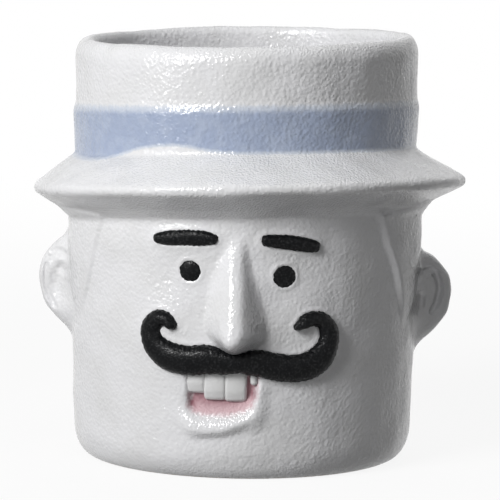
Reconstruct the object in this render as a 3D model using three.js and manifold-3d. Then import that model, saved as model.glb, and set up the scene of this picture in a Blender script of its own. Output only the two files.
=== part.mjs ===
// Glazed planter in the form of a moustached head in a brimmed hat, put together from its clay pieces.
// Millimetres, +Z up. The face looks along -Y, the foot stands on Z = 0 and the origin is under the middle
// of the brim. Left and right are the viewer's, who faces the nose.
import * as THREE from 'three';
import { mergeVertices } from 'three/addons/utils/BufferGeometryUtils.js';
import Module from 'manifold-3d';

// Fits
const SEAT_GAP = 0.3; // slip joint between two clay pieces
const PLUG_CLEARANCE = 0.3; // round the drain plug

// Pot wall, from the foot to the rim: each width is counted from the one before it
const JAW_RADIUS = 51.5;
const HEEL_HEIGHT = 10;
const HEEL_ROUND = 5.4; // how far the foot draws in under the jaw
const HAT_LINE_Z = 74.2;
const TEMPLE_FLARE = 2.1; // how much wider the head is at the hat line than at the jaw
const CROWN_STEP_IN = 2.5; // how much narrower the foot of the crown is than the temples
const BRIM_ROOT_HEIGHT = 18.8; // from the hat line up to the crease between brim and crown
const CROWN_FLARE = 1;
const CROWN_HEIGHT = 28.9; // from the crease up to the shoulder
const RIM_ROUND_HEIGHT = 6.1;
const RIM_ROUND_WIDTH = 3.9;
const RIM_INNER_ROUND = 1.8;

// Inside of the pot
const CROWN_WALL = 5.9;
const HEAD_WALL = 7.1;
const FLOOR_FILLET = 5;
const FLOOR_Z = 8;
const FOOT_RING_WIDTH = 8;
const FOOT_RECESS = 1.6;
const DRAIN_RADIUS = 6;
const PLUG_SEAT_DEPTH = 0.6; // shallow seat round the drain, which the plug's flange lies in

// Hat
const BRIM_WIDTH = 12.4; // how far the brim stands out from the temples
const BRIM_DROP = 10.2; // from the crease down to the middle of the brim's tip
const BRIM_TIP_ROUND = 1.7;
const BRIM_TIP_SPREAD = 62; // degrees of rounding above and below the brim's tip
const BRIM_ROOT_BLEND = 3; // the hollow where the underside meets the head
const BRIM_ROOT_RISE = 1.25; // how much steeper the underside is there
const BRIM_OFFSET = 1.4; // the brim sits this much to the right of the head's axis
const HAT_LEAN_BACK = 4.1; // degrees, front of the brim up
const HAT_LEAN_SIDE = 1.7; // degrees, right of the brim up
const RIM_LEAN_SHARE = 0.7; // share of the side lean that is left at the rim
const LEAN_FADE_POWER = 1.6; // how late the lean back dies out up the crown
const BAND_HEIGHT = 15.3;
const BAND_THICKNESS = 1.3;
const BAND_PROUD = 0.45;

// Face: places on the wall are an arc length from the front and a height
const ARC_LINE_OUT = 1.5; // how far outside the jaw arc lengths are measured
const EDGE_PROUD = 0.8; // thickness of a relief piece at its edge
const NOSE_TOP_Z = 72.6;
const NOSE_BOTTOM_Z = 40.1;
const NOSE_PROUD = 11.4;
const NOSE_HALF_WIDTH = 9.15;
const NOSE_MIDDLE = -1.45; // arc of the middle between its wings
const BROW_PROUD = 2;
const MOUSTACHE_PROUD = 3.6;
const EYE_RADIUS = 3.35;
const EYE_SOCKET_DEPTH = 1.5;
const EYE_DOME = 1.4;
const MOUTH_DEPTH = 3;
const TOOTH_THICKNESS = 2.6;
const LIP_PROUD = 1.9;
const SIDEBURN_PROUD = 1.1;
const EAR_THICKNESS = 10;
const LEFT_EAR_BOTTOM_Z = 38;
const LEFT_EAR_HEIGHT = 30.4;
const LEFT_EAR_REACH = 9.4;
const RIGHT_EAR_BOTTOM_Z = 34.6;
const RIGHT_EAR_HEIGHT = 29.4;
const RIGHT_EAR_REACH = 10.7;

// Drain plug
const PLUG_FLANGE_RADIUS = 9;
const PLUG_FLANGE = 1.6;
const PLUG_KNOB_RADIUS = 3.2;
const PLUG_KNOB = 2.4;
const PLUG_LEAD_IN = 0.8; // taper at the lower end of the plug

// Fineness
const AROUND = 72; // faces round the pot
const SMALL_AROUND = 32; // faces round the plug and the eyes
const ROUND_STEPS = 4;
const MOUTH_STEPS = 15; // along the recess of the mouth
const LINING_STEPS = 25;

const GLAZE_WHITE = { color: 0xe9e9ec, roughness: 0.34, metalness: 0 };
const GLAZE_BLUE = { color: 0xb0bdd3, roughness: 0.4, metalness: 0 };
const GLAZE_BLACK = { color: 0x232327, roughness: 0.62, metalness: 0 };
const GLAZE_PINK = { color: 0xcf9ea6, roughness: 0.4, metalness: 0 };
const RUBBER_GREY = { color: 0x4a4b4f, roughness: 0.85, metalness: 0 };

const wasm = await Module();
wasm.setup();

const templeRadius = JAW_RADIUS + TEMPLE_FLARE;
const crownFootRadius = templeRadius - CROWN_STEP_IN;
const crownTopRadius = crownFootRadius + CROWN_FLARE;
const brimRadius = templeRadius + BRIM_WIDTH;
const faceRadius = JAW_RADIUS + ARC_LINE_OUT;
const creaseZ = HAT_LINE_Z + BRIM_ROOT_HEIGHT;
const brimTipZ = creaseZ - BRIM_DROP;
const shoulderZ = creaseZ + CROWN_HEIGHT;
const rimZ = shoulderZ + RIM_ROUND_HEIGHT;

const radians = (degrees) => (degrees * Math.PI) / 180;
const mix = (from, to, share) => from + (to - from) * share;
const clamp01 = (value) => Math.min(1, Math.max(0, value));

// How far the leaning hat lifts a point of the crown or the brim
function hatLift(x, y, z) {
  if (z < HAT_LINE_Z - SEAT_GAP) {
    return 0;
  }
  const rise = clamp01((z - creaseZ) / (rimZ - creaseZ));
  const side = Math.tan(radians(HAT_LEAN_SIDE)) * x * mix(1, RIM_LEAN_SHARE, rise);
  const back = Math.tan(radians(HAT_LEAN_BACK)) * -y * (1 - rise ** LEAN_FADE_POWER);
  return side + back;
}

const unitAt = (angle) => ({ x: Math.sin(angle), y: -Math.cos(angle) });

// Height of the ring at radius and height z, as lifted by the lean, at an angle from the front
function leaningHeight(radius, z, angle) {
  const unit = unitAt(angle);
  return z + hatLift(unit.x * radius, unit.y * radius, z);
}

// Outer radius of the pot wall below the hat line at an angle from the front
function wallRadius(z, angle) {
  const top = leaningHeight(templeRadius, HAT_LINE_Z, angle);
  return mix(JAW_RADIUS, templeRadius, (z - HEEL_HEIGHT) / (top - HEEL_HEIGHT));
}

// Point on the wall at an arc length from the front, a height, and a distance out from the wall
function onWall(arc, z, proud) {
  const angle = arc / faceRadius;
  const unit = unitAt(angle);
  const radius = wallRadius(z, angle) + proud;
  return new THREE.Vector3(unit.x * radius, unit.y * radius, z);
}

function quarterRound(centreR, centreZ, sizeR, sizeZ, fromDegrees, toDegrees) {
  return Array.from({ length: ROUND_STEPS + 1 }, (_, step) => {
    const angle = radians(mix(fromDegrees, toDegrees, step / ROUND_STEPS));
    return [centreR + sizeR * Math.cos(angle), centreZ + sizeZ * Math.sin(angle)];
  });
}

// Turned solid about +Z from a closed profile of [radius, height] points
function turned(profile, around) {
  const points = profile.map(([radius, z]) => new THREE.Vector2(radius, z));
  return new THREE.LatheGeometry(points, around).rotateX(Math.PI / 2);
}

function moveVertices(geometry, move) {
  const position = geometry.getAttribute('position');
  const point = new THREE.Vector3();
  for (let index = 0; index < position.count; index += 1) {
    point.fromBufferAttribute(position, index);
    move(point);
    position.setXYZ(index, point.x, point.y, point.z);
  }
  return geometry;
}

function leaned(geometry) {
  return moveVertices(geometry, (point) => {
    point.z += hatLift(point.x, point.y, point.z);
  });
}

function welded(geometry) {
  const bare = geometry.clone();
  bare.deleteAttribute('normal');
  bare.deleteAttribute('uv');
  return mergeVertices(bare);
}

function toSolid(geometry) {
  const bare = welded(geometry);
  return new wasm.Manifold(new wasm.Mesh({
    numProp: 3,
    vertProperties: new Float32Array(bare.getAttribute('position').array),
    triVerts: new Uint32Array(bare.getIndex().array),
  }));
}

function toGeometry(solid) {
  const mesh = solid.getMesh();
  const geometry = new THREE.BufferGeometry();
  geometry.setAttribute('position', new THREE.BufferAttribute(new Float32Array(mesh.vertProperties), 3));
  geometry.setIndex(new THREE.BufferAttribute(new Uint32Array(mesh.triVerts), 1));
  geometry.computeVertexNormals();
  return geometry;
}

// Closed solid between a grid of points on its outside and the like grid behind it
function slab(front, behind) {
  const rows = front.length;
  const columns = front[0].length;
  const points = [...front.flat(), ...behind.flat()];
  const at = (side, row, column) => (side * rows + row) * columns + column;
  const triangles = [];
  const quad = (a, b, c, d) => triangles.push(a, b, c, a, c, d);
  for (let row = 0; row < rows - 1; row += 1) {
    for (let column = 0; column < columns - 1; column += 1) {
      quad(at(0, row, column), at(0, row, column + 1), at(0, row + 1, column + 1), at(0, row + 1, column));
      quad(at(1, row, column), at(1, row + 1, column), at(1, row + 1, column + 1), at(1, row, column + 1));
    }
  }
  const last = rows - 1;
  const end = columns - 1;
  for (let column = 0; column < end; column += 1) {
    quad(at(0, 0, column), at(1, 0, column), at(1, 0, column + 1), at(0, 0, column + 1));
    quad(at(0, last, column), at(0, last, column + 1), at(1, last, column + 1), at(1, last, column));
  }
  for (let row = 0; row < last; row += 1) {
    quad(at(0, row, 0), at(0, row + 1, 0), at(1, row + 1, 0), at(1, row, 0));
    quad(at(0, row, end), at(1, row, end), at(1, row + 1, end), at(0, row + 1, end));
  }
  const volume = (index) => {
    const [a, b, c] = [0, 1, 2].map((corner) => points[triangles[index + corner]]);
    return new THREE.Vector3().crossVectors(b, c).dot(a);
  };
  let total = 0;
  for (let index = 0; index < triangles.length; index += 3) {
    total += volume(index);
  }
  if (total < 0) {
    triangles.reverse();
  }
  const geometry = new THREE.BufferGeometry().setFromPoints(points);
  geometry.setIndex(triangles);
  geometry.computeVertexNormals();
  return geometry;
}

const spread = (count) => Array.from({ length: count }, (_, index) => index / (count - 1));

// Domed height across a relief piece: q is 0 on its middle line and 1 at its edge
const dome = (q, proud) => EDGE_PROUD + (proud - EDGE_PROUD) * Math.sqrt(Math.max(0, 1 - q * q));

// Relief that follows a middle line on the wall. Each line point is [arc, height, half width]
function reliefStrip(line, proud, steps, columns) {
  const points = line.map((point) => new THREE.Vector3(...point));
  const curve = new THREE.CatmullRomCurve3(points, false, 'centripetal');
  const rows = [];
  const addRow = (share, capAngle, direction) => {
    const middle = curve.getPoint(share);
    const along = curve.getTangent(share).setZ(0).normalize();
    const width = middle.z;
    const reach = direction * width * Math.sin(capAngle);
    rows.push({
      arc: middle.x + along.x * reach,
      z: middle.y + along.y * reach,
      acrossArc: -along.y * width * Math.cos(capAngle),
      acrossZ: along.x * width * Math.cos(capAngle),
      capAngle,
    });
  };
  const capAngles = [80, 55, 28].map(radians);
  capAngles.forEach((angle) => addRow(0, angle, -1));
  spread(steps).forEach((share) => addRow(share, 0, 1));
  [...capAngles].reverse().forEach((angle) => addRow(1, angle, 1));
  const grid = (height) => rows.map((row) => spread(columns).map((share) => {
    const t = 2 * share - 1;
    const q = Math.hypot(Math.sin(row.capAngle), t * Math.cos(row.capAngle));
    return onWall(row.arc + t * row.acrossArc, row.z + t * row.acrossZ, height(q));
  }));
  return slab(grid((q) => dome(q, proud)), grid(() => SEAT_GAP));
}

// Patch between two edges: edges(share) gives the low and high [arc, height] ends of a row, and front and
// behind give how far its faces stand out at share s along and t across
function patch(rows, columns, edges, front, behind) {
  const grid = (proud) => spread(rows).map((s) => {
    const [low, high] = edges(s);
    return spread(columns).map((t) => onWall(mix(low[0], high[0], t), mix(low[1], high[1], t), proud(s, t)));
  });
  return slab(grid(front), grid(behind));
}

// Height of a curve through [arc, height] points at a given arc
function heightAlong(points, arc) {
  const within = THREE.MathUtils.clamp(arc, points[0][0], points[points.length - 1][0]);
  const next = Math.max(1, points.findIndex((point) => point[0] >= within));
  const [a, b] = [points[next - 1], points[next]];
  return mix(a[1], b[1], (within - a[0]) / (b[0] - a[0]));
}

// Pot body

const bandTopZ = creaseZ + BAND_HEIGHT;
const crownRadius = (z) => mix(crownFootRadius, crownTopRadius, (z - creaseZ) / CROWN_HEIGHT);
const rebate = BAND_THICKNESS - BAND_PROUD + SEAT_GAP;

function potTurning() {
  const footRadius = JAW_RADIUS - HEEL_ROUND;
  const footInner = footRadius - FOOT_RING_WIDTH;
  const rimRadius = crownTopRadius - RIM_ROUND_WIDTH;
  const innerRound = crownTopRadius - CROWN_WALL + RIM_INNER_ROUND;
  const floorRadius = JAW_RADIUS - HEAD_WALL;
  const plugSeatRadius = PLUG_FLANGE_RADIUS + PLUG_CLEARANCE;
  const plugSeatZ = FLOOR_Z - PLUG_SEAT_DEPTH;
  return turned([
    [DRAIN_RADIUS, FOOT_RECESS],
    [footInner - FOOT_RECESS, FOOT_RECESS],
    [footInner, 0],
    ...quarterRound(footRadius, HEEL_HEIGHT, HEEL_ROUND, HEEL_HEIGHT, -90, 0),
    [templeRadius, HAT_LINE_Z],
    [crownFootRadius, creaseZ],
    [crownFootRadius - rebate, creaseZ],
    [crownRadius(bandTopZ) - rebate, bandTopZ],
    [crownRadius(bandTopZ), bandTopZ],
    ...quarterRound(rimRadius, shoulderZ, RIM_ROUND_WIDTH, RIM_ROUND_HEIGHT, 0, 90),
    ...quarterRound(innerRound, rimZ - RIM_INNER_ROUND, RIM_INNER_ROUND, RIM_INNER_ROUND, 90, 180).slice(1),
    [floorRadius, FLOOR_Z + FLOOR_FILLET],
    ...quarterRound(floorRadius - FLOOR_FILLET, FLOOR_Z + FLOOR_FILLET, FLOOR_FILLET, FLOOR_FILLET, 0, -90)
      .slice(1),
    [plugSeatRadius, FLOOR_Z],
    [plugSeatRadius, plugSeatZ],
    [DRAIN_RADIUS, plugSeatZ],
    [DRAIN_RADIUS, FOOT_RECESS],
  ], AROUND);
}

// Mouth recess: lower edge from left to right, and the level of its upper edge
const MOUTH_LOWER_EDGE = [
  [-17.2, 22], [-14.6, 20.9], [-10, 20], [-5, 19.7], [0, 20.3], [2.8, 21.7], [4.6, 24.4],
];
const MOUTH_TOP_Z = 32;
const mouthLeft = MOUTH_LOWER_EDGE[0][0];
const mouthRight = MOUTH_LOWER_EDGE[MOUTH_LOWER_EDGE.length - 1][0];

function mouthCutter() {
  const edges = (s) => {
    const arc = mix(mouthLeft, mouthRight, s);
    return [[arc, heightAlong(MOUTH_LOWER_EDGE, arc)], [arc, MOUTH_TOP_Z]];
  };
  return patch(MOUTH_STEPS, 3, edges, () => MOUTH_DEPTH, () => -MOUTH_DEPTH);
}

const EYES = { left: [-15.7, 62.3], right: [12, 61.2] };

// Shape turned about Y, swung so that its axis runs out of the wall at an eye, with its zero on the wall
function outOfWall(geometry, [arc, z]) {
  const seat = onWall(arc, z, 0);
  return geometry.rotateX(Math.PI).rotateZ(arc / faceRadius).translate(seat.x, seat.y, seat.z);
}

function eyeSocket(place) {
  const radius = EYE_RADIUS + SEAT_GAP;
  const height = 2 * EYE_SOCKET_DEPTH;
  return outOfWall(new THREE.CylinderGeometry(radius, radius, height, SMALL_AROUND), place);
}

function potBody() {
  const cuts = [mouthCutter(), ...Object.values(EYES).map(eyeSocket)];
  const body = cuts.reduce((solid, cut) => solid.subtract(toSolid(cut)), toSolid(leaned(potTurning())));
  return toGeometry(body);
}

// Hat

function hatBrim() {
  const tipR = brimRadius - BRIM_TIP_ROUND;
  const innerR = templeRadius + SEAT_GAP;
  const slope = (brimTipZ - BRIM_TIP_ROUND - HAT_LINE_Z) / (tipR - templeRadius);
  const ring = turned([
    [innerR, HAT_LINE_Z],
    [innerR + BRIM_ROOT_BLEND, HAT_LINE_Z + BRIM_ROOT_BLEND * slope * BRIM_ROOT_RISE],
    ...quarterRound(tipR, brimTipZ, BRIM_TIP_ROUND, BRIM_TIP_ROUND, -BRIM_TIP_SPREAD, BRIM_TIP_SPREAD),
    [crownFootRadius + SEAT_GAP, creaseZ],
    [innerR, HAT_LINE_Z],
  ], AROUND);
  return moveVertices(leaned(ring), (point) => {
    point.x += BRIM_OFFSET * clamp01((Math.hypot(point.x, point.y) - innerR) / (tipR - innerR));
  });
}

function hatBand() {
  const bottomZ = creaseZ + SEAT_GAP;
  const topZ = bandTopZ - SEAT_GAP;
  const outer = (z) => crownRadius(z) + BAND_PROUD;
  const softEdge = BAND_PROUD;
  return leaned(turned([
    [outer(bottomZ) - BAND_THICKNESS, bottomZ],
    [outer(bottomZ) - softEdge, bottomZ],
    [outer(bottomZ), bottomZ + softEdge],
    [outer(topZ), topZ - softEdge],
    [outer(topZ) - softEdge, topZ],
    [outer(topZ) - BAND_THICKNESS, topZ],
    [outer(bottomZ) - BAND_THICKNESS, bottomZ],
  ], AROUND));
}

// Nose: rows from the nostrils up. Each is [share of the height; left edge, ridge and right edge as shares of
// the half width from the nose's middle; share of the full proudness]
const NOSE_ROWS = [
  [0, -0.5, -0.16, 0.51, 0.42], [0.03, -0.74, -0.17, 0.75, 0.74], [0.08, -0.93, -0.18, 0.95, 0.95],
  [0.15, -1, -0.19, 1, 1], [0.24, -0.93, -0.19, 0.96, 0.93], [0.38, -0.81, -0.17, 0.81, 0.77],
  [0.54, -0.64, -0.14, 0.63, 0.57], [0.7, -0.46, -0.1, 0.44, 0.38], [0.86, -0.29, -0.07, 0.22, 0.2],
  [1, -0.16, -0.05, 0.07, 0.08],
];

function nose() {
  const columns = spread(9);
  const rows = NOSE_ROWS.map(([share, left, ridge, right, proud]) => {
    const z = mix(NOSE_BOTTOM_Z, NOSE_TOP_Z, share);
    return columns.map((column) => {
      const t = 2 * column - 1;
      const across = t < 0 ? mix(ridge, left, -t) : mix(ridge, right, t);
      const arc = NOSE_MIDDLE + NOSE_HALF_WIDTH * across;
      const flank = 1 - Math.abs(t) ** 1.35;
      return { arc, z, proud: EDGE_PROUD + NOSE_PROUD * proud * flank };
    });
  });
  const grid = (height) => rows.map((row) => row.map((cell) => onWall(cell.arc, cell.z, height(cell))));
  return slab(grid((cell) => cell.proud), grid(() => SEAT_GAP));
}

// Ears: outline from the lobe up, as [share of the ear's height, share of its reach]
const EAR_OUTLINE = [
  [0, 0.1], [0.06, 0.28], [0.14, 0.55], [0.24, 0.8], [0.36, 0.94], [0.48, 1], [0.6, 0.99], [0.71, 0.9],
  [0.81, 0.74], [0.9, 0.5], [0.97, 0.24], [1, 0.08],
];
const EARS = {
  left: { side: -1, bottomZ: LEFT_EAR_BOTTOM_Z, height: LEFT_EAR_HEIGHT, reach: LEFT_EAR_REACH },
  right: { side: 1, bottomZ: RIGHT_EAR_BOTTOM_Z, height: RIGHT_EAR_HEIGHT, reach: RIGHT_EAR_REACH },
};
const EAR_RIM = 0.3; // share of the reach that the rolled edge takes up
const EAR_HOLLOW = 2.4; // depth of the hollow inside the rolled edge
const EAR_EDGE = 0.5; // share of the thickness that is left at the edge
const EAR_TIP = 0.35; // share of the thickness that is left at the lobe and the top

function ear({ side, bottomZ, height, reach }) {
  const columns = spread(9);
  const point = (share, out, depth) => {
    const z = bottomZ + height * share;
    const angle = side * Math.PI / 2 - (side * depth) / faceRadius;
    const unit = unitAt(angle);
    const radius = wallRadius(z, angle) + SEAT_GAP + out;
    return new THREE.Vector3(unit.x * radius, unit.y * radius, z);
  };
  const grid = (depthAt) => EAR_OUTLINE.map(([share, outline]) => columns.map((column) => {
    return point(share, column * outline * reach, depthAt(share, column, outline));
  }));
  const half = (share) => (EAR_THICKNESS / 2) * mix(EAR_TIP, 1, Math.sin(Math.PI * share));
  const front = (share, column, outline) => {
    const fromEdge = (1 - column) * outline;
    const roll = half(share) * mix(EAR_EDGE, 1, Math.sqrt(clamp01(fromEdge / EAR_RIM)));
    const hollow = EAR_HOLLOW * clamp01((fromEdge - EAR_RIM) / EAR_RIM) * Math.sin(Math.PI * share);
    return roll - hollow;
  };
  const behind = (share, column) => -half(share) * mix(1, EAR_EDGE, column ** 2);
  return slab(grid(front), grid(behind));
}

// Brows, eyes and moustache

const BROWS = {
  left: [[-24.6, 71.3, 1.7], [-21.8, 71.7, 2.35], [-17, 72.1, 2.5], [-12.4, 72.4, 2.4], [-9.3, 72.5, 2]],
  right: [[6.6, 72, 2], [10, 71.6, 2.2], [14, 71.1, 2.2], [17.8, 70.6, 2.05], [20.3, 70.2, 1.7]],
};

const MOUSTACHE_LINE = [
  [-20.7, 47.5, 2.4], [-23.2, 48.1, 2.4], [-25.6, 47.1, 2.7], [-26.6, 44.7, 2.95], [-26.4, 42.1, 3.1],
  [-25, 39.7, 3.5], [-22.3, 37.7, 3.9], [-18.8, 36.6, 4.2], [-14.9, 36.4, 4.3], [-10.9, 36.6, 4.3],
  [-6.3, 36.2, 3.6], [-1.2, 36.1, 3], [2.2, 36.2, 3.5], [6.1, 35.7, 3.9], [10.7, 34.9, 4], [15.3, 34.7, 3.9],
  [18.9, 35.6, 4.2], [21.7, 37.6, 3.9], [23.6, 40.6, 3.3], [24.3, 44, 2.85], [23.5, 46.9, 2.7],
  [21.1, 48.6, 2.55], [18.3, 48.3, 2.3], [16.3, 47.3, 1.6], [15.2, 46.6, 1],
];

function eye(place) {
  const back = -EYE_SOCKET_DEPTH + SEAT_GAP;
  const profile = [
    [0, back],
    [EYE_RADIUS, back],
    ...quarterRound(0, back + EYE_SOCKET_DEPTH / 2, EYE_RADIUS, EYE_DOME, 0, 90).slice(0, -1),
    [0, back + EYE_SOCKET_DEPTH / 2 + EYE_DOME],
  ];
  const points = profile.map(([radius, out]) => new THREE.Vector2(radius, out));
  return outOfWall(new THREE.LatheGeometry(points, SMALL_AROUND), place);
}

// Mouth

const TEETH = {
  left_tooth: { left: -16.3, right: -11.9, bottomZ: 26 },
  middle_tooth: { left: -11.5, right: -5.3, bottomZ: 24.6 },
  right_tooth: { left: -4.9, right: 1, bottomZ: 24.8 },
  corner_tooth: { left: 2.1, right: 4.2, bottomZ: 29.2 },
};
const TOOTH_ROUND = 0.22; // share of a tooth's width over which its edge rounds off

function tooth({ left, right, bottomZ }) {
  const back = -MOUTH_DEPTH + SEAT_GAP;
  const edges = (s) => {
    const arc = mix(left, right, s);
    return [[arc, bottomZ], [arc, MOUTH_TOP_Z - SEAT_GAP]];
  };
  const roundOff = (share) => Math.sqrt(1 - (1 - clamp01(share / TOOTH_ROUND)) ** 2);
  const crown = (s, t) => roundOff(Math.min(s, 1 - s)) * roundOff(t);
  return patch(9, 6, edges, (s, t) => back + TOOTH_THICKNESS * mix(0.7, 1, crown(s, t)), () => back);
}

// The lining fills the recess below the teeth and climbs beside the right tooth
const LINING_UPPER_EDGE = [[-17, 25.6], [-12, 25.4], [-11.6, 24.1], [1.9, 24.3], [2.2, 28.6], [4.3, 28.7]];
const LINING_LIP_SLOPE = 2.1; // how much further out the lining stands at the lip than under the teeth

function mouthLining() {
  const back = -MOUTH_DEPTH + SEAT_GAP;
  const left = mouthLeft + SEAT_GAP;
  const right = mouthRight - SEAT_GAP;
  const edges = (s) => {
    const arc = mix(left, right, s);
    const low = heightAlong(MOUTH_LOWER_EDGE, arc) + SEAT_GAP * 1.5;
    return [[arc, low], [arc, Math.max(low + EDGE_PROUD, heightAlong(LINING_UPPER_EDGE, arc))]];
  };
  const front = (s, t) => back + EDGE_PROUD + LINING_LIP_SLOPE * (1 - Math.sqrt(t));
  return patch(LINING_STEPS, 4, edges, front, () => back);
}

const LIP_LINE = [
  [-17.6, 19.9, 1.6], [-15, 18.8, 2.1], [-10, 17.7, 2.3], [-5, 17.3, 2.3], [0.2, 17.9, 2.3], [4, 19.5, 2.1],
  [6.6, 22.4, 1.8], [7.2, 25.6, 1.3],
];

// Sideburns: front edge as [arc, height], from the hat line down
const SIDEBURNS = {
  left: {
    side: -1,
    front: [[47.1, 75.8], [49.7, 69.9], [52.7, 62.9], [57, 54], [61.2, 47.1], [64.3, 41.6]],
  },
  right: {
    side: 1,
    front: [[43.1, 77.1], [47.4, 68.5], [51.6, 61.5], [54.2, 55.2], [56.9, 49.8], [60.1, 43]],
  },
};
const SIDEBURN_EAR_GAP = 1; // from its back edge to the ear
const SIDEBURN_FOOT_WIDTH = 2.8;
const SIDEBURN_TAPER = 22; // height over which the back edge runs in to the foot

function sideburn({ side, front }) {
  const lowest = front[front.length - 1][1];
  const earFront = faceRadius * Math.PI / 2 - EAR_THICKNESS / 2;
  const back = earFront - SIDEBURN_EAR_GAP;
  const rising = front.map(([arc, z]) => [z, arc]).reverse();
  const frontArc = (z) => heightAlong(rising, z);
  const taper = (z) => Math.sqrt(clamp01((z - lowest) / SIDEBURN_TAPER));
  const backArc = (z) => mix(frontArc(z) + SIDEBURN_FOOT_WIDTH, back, taper(z));
  const topAt = (arc) => leaningHeight(templeRadius, HAT_LINE_Z, (side * arc) / faceRadius) - SEAT_GAP;
  const grid = (proud) => spread(9).map((s) => spread(6).map((t) => {
    const arcAtTop = mix(frontArc(topAt(frontArc(HAT_LINE_Z))), back, t);
    const z = mix(lowest, topAt(arcAtTop), s);
    return onWall(side * mix(frontArc(z), backArc(z), t), z, proud(s, t));
  }));
  return slab(grid((s, t) => mix(SIDEBURN_PROUD, EDGE_PROUD, t) * mix(0.75, 1, s)), grid(() => SEAT_GAP));
}

// Drain plug

function drainPlug() {
  const shank = DRAIN_RADIUS - PLUG_CLEARANCE;
  const flangeZ = FLOOR_Z - PLUG_SEAT_DEPTH + SEAT_GAP;
  const flangeTop = flangeZ + PLUG_FLANGE;
  const round = PLUG_FLANGE / 2;
  return turned([
    [0, FOOT_RECESS],
    [shank - PLUG_LEAD_IN, FOOT_RECESS],
    [shank, FOOT_RECESS + PLUG_LEAD_IN],
    [shank, flangeZ],
    [PLUG_FLANGE_RADIUS, flangeZ],
    ...quarterRound(PLUG_FLANGE_RADIUS - round, flangeTop - round, round, round, 0, 90),
    [PLUG_KNOB_RADIUS, flangeTop],
    [PLUG_KNOB_RADIUS, flangeTop + PLUG_KNOB - round],
    ...quarterRound(PLUG_KNOB_RADIUS - round, flangeTop + PLUG_KNOB - round, round, round, 0, 90).slice(1),
    [0, flangeTop + PLUG_KNOB],
  ], SMALL_AROUND);
}

// Assembly: the head stands a little to the left of the brim's middle, which is the origin

const planter = new THREE.Group();
planter.name = 'face_planter';
const head = new THREE.Group();
head.position.x = -BRIM_OFFSET;
planter.add(head);

function add(name, geometry, finish) {
  const mesh = new THREE.Mesh(geometry, new THREE.MeshStandardMaterial(finish));
  mesh.name = name;
  head.add(mesh);
}

add('pot_body', potBody(), GLAZE_WHITE);
add('hat_brim', hatBrim(), GLAZE_WHITE);
add('hat_band', hatBand(), GLAZE_BLUE);
add('nose', nose(), GLAZE_WHITE);
for (const [side, shape] of Object.entries(EARS)) {
  add(`${side}_ear`, ear(shape), GLAZE_WHITE);
}
for (const [side, line] of Object.entries(BROWS)) {
  add(`${side}_eyebrow`, reliefStrip(line, BROW_PROUD, 9, 7), GLAZE_BLACK);
}
for (const [side, place] of Object.entries(EYES)) {
  add(`${side}_eye`, eye(place), GLAZE_BLACK);
}
add('moustache', reliefStrip(MOUSTACHE_LINE, MOUSTACHE_PROUD, 49, 7), GLAZE_BLACK);
for (const [name, shape] of Object.entries(TEETH)) {
  add(name, tooth(shape), GLAZE_WHITE);
}
add('mouth_lining', mouthLining(), GLAZE_PINK);
add('lower_lip', reliefStrip(LIP_LINE, LIP_PROUD, 13, 7), GLAZE_WHITE);
for (const [side, shape] of Object.entries(SIDEBURNS)) {
  add(`${side}_sideburn`, sideburn(shape), GLAZE_WHITE);
}
add('drain_plug', drainPlug(), RUBBER_GREY);

export default planter;
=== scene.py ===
"""Looks of a glazed planter in the form of a moustached head in a brimmed hat.

The pot was fired in one piece, so its white clay is described here as one signed distance field in
millimetres. The field is meshed on a lattice, laid exactly on the clay and parted into regions. The black
glaze, the teeth and the rubber plug are bodies of their own on it. Left and right are the viewer's, who faces
the nose along +Y.
"""

import logging
import math
from collections.abc import Callable, Mapping, Sequence
from dataclasses import dataclass, field
from enum import Enum
from functools import partial

import bpy
import numpy as np
from bpy.types import Material, Node, NodeSocket, NodeTree, Object
from mathutils import Matrix, Vector


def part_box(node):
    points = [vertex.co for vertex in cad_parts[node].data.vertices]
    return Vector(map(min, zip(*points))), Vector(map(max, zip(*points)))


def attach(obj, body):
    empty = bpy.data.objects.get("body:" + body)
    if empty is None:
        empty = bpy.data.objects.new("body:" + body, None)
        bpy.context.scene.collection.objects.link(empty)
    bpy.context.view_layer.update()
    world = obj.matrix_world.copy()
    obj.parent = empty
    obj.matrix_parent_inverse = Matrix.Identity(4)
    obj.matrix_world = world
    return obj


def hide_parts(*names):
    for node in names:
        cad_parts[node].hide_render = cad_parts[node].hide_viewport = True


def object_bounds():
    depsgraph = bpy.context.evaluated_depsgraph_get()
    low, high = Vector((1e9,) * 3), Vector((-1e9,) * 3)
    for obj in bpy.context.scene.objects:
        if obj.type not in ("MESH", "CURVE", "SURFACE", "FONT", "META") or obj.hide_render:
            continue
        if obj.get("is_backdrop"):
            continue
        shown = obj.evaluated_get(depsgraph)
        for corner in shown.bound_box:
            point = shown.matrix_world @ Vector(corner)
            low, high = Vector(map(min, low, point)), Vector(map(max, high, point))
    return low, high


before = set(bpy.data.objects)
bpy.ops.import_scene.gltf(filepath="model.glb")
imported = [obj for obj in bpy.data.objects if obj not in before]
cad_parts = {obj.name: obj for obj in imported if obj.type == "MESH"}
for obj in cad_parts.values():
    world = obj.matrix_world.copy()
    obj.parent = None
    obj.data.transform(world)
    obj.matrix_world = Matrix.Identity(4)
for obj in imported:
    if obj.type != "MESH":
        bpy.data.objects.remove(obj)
cad_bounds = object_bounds()

log = logging.getLogger("face_planter")

Array = np.ndarray
Pair = tuple[float, float]
Rows = Sequence[Sequence[float]]
Distance = Callable[[Array], Array]

MM = 0.001  # metres in a millimetre


# Numbers and curves


def smooth_step(none: float, full: float, value: Array) -> Array:
    """Changes smoothly from 0 where the value is none to 1 where it is full, whichever is larger."""
    share = np.clip((value - none) / (full - none), 0, 1)
    return share * share * (3 - 2 * share)


def join(first: Array, second: Array, blend: float) -> Array:
    """Unites two distances with a fillet about as wide as blend."""
    share = np.clip(0.5 + 0.5 * (second - first) / blend, 0, 1)
    return second + (first - second) * share - blend * share * (1 - share)


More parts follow.
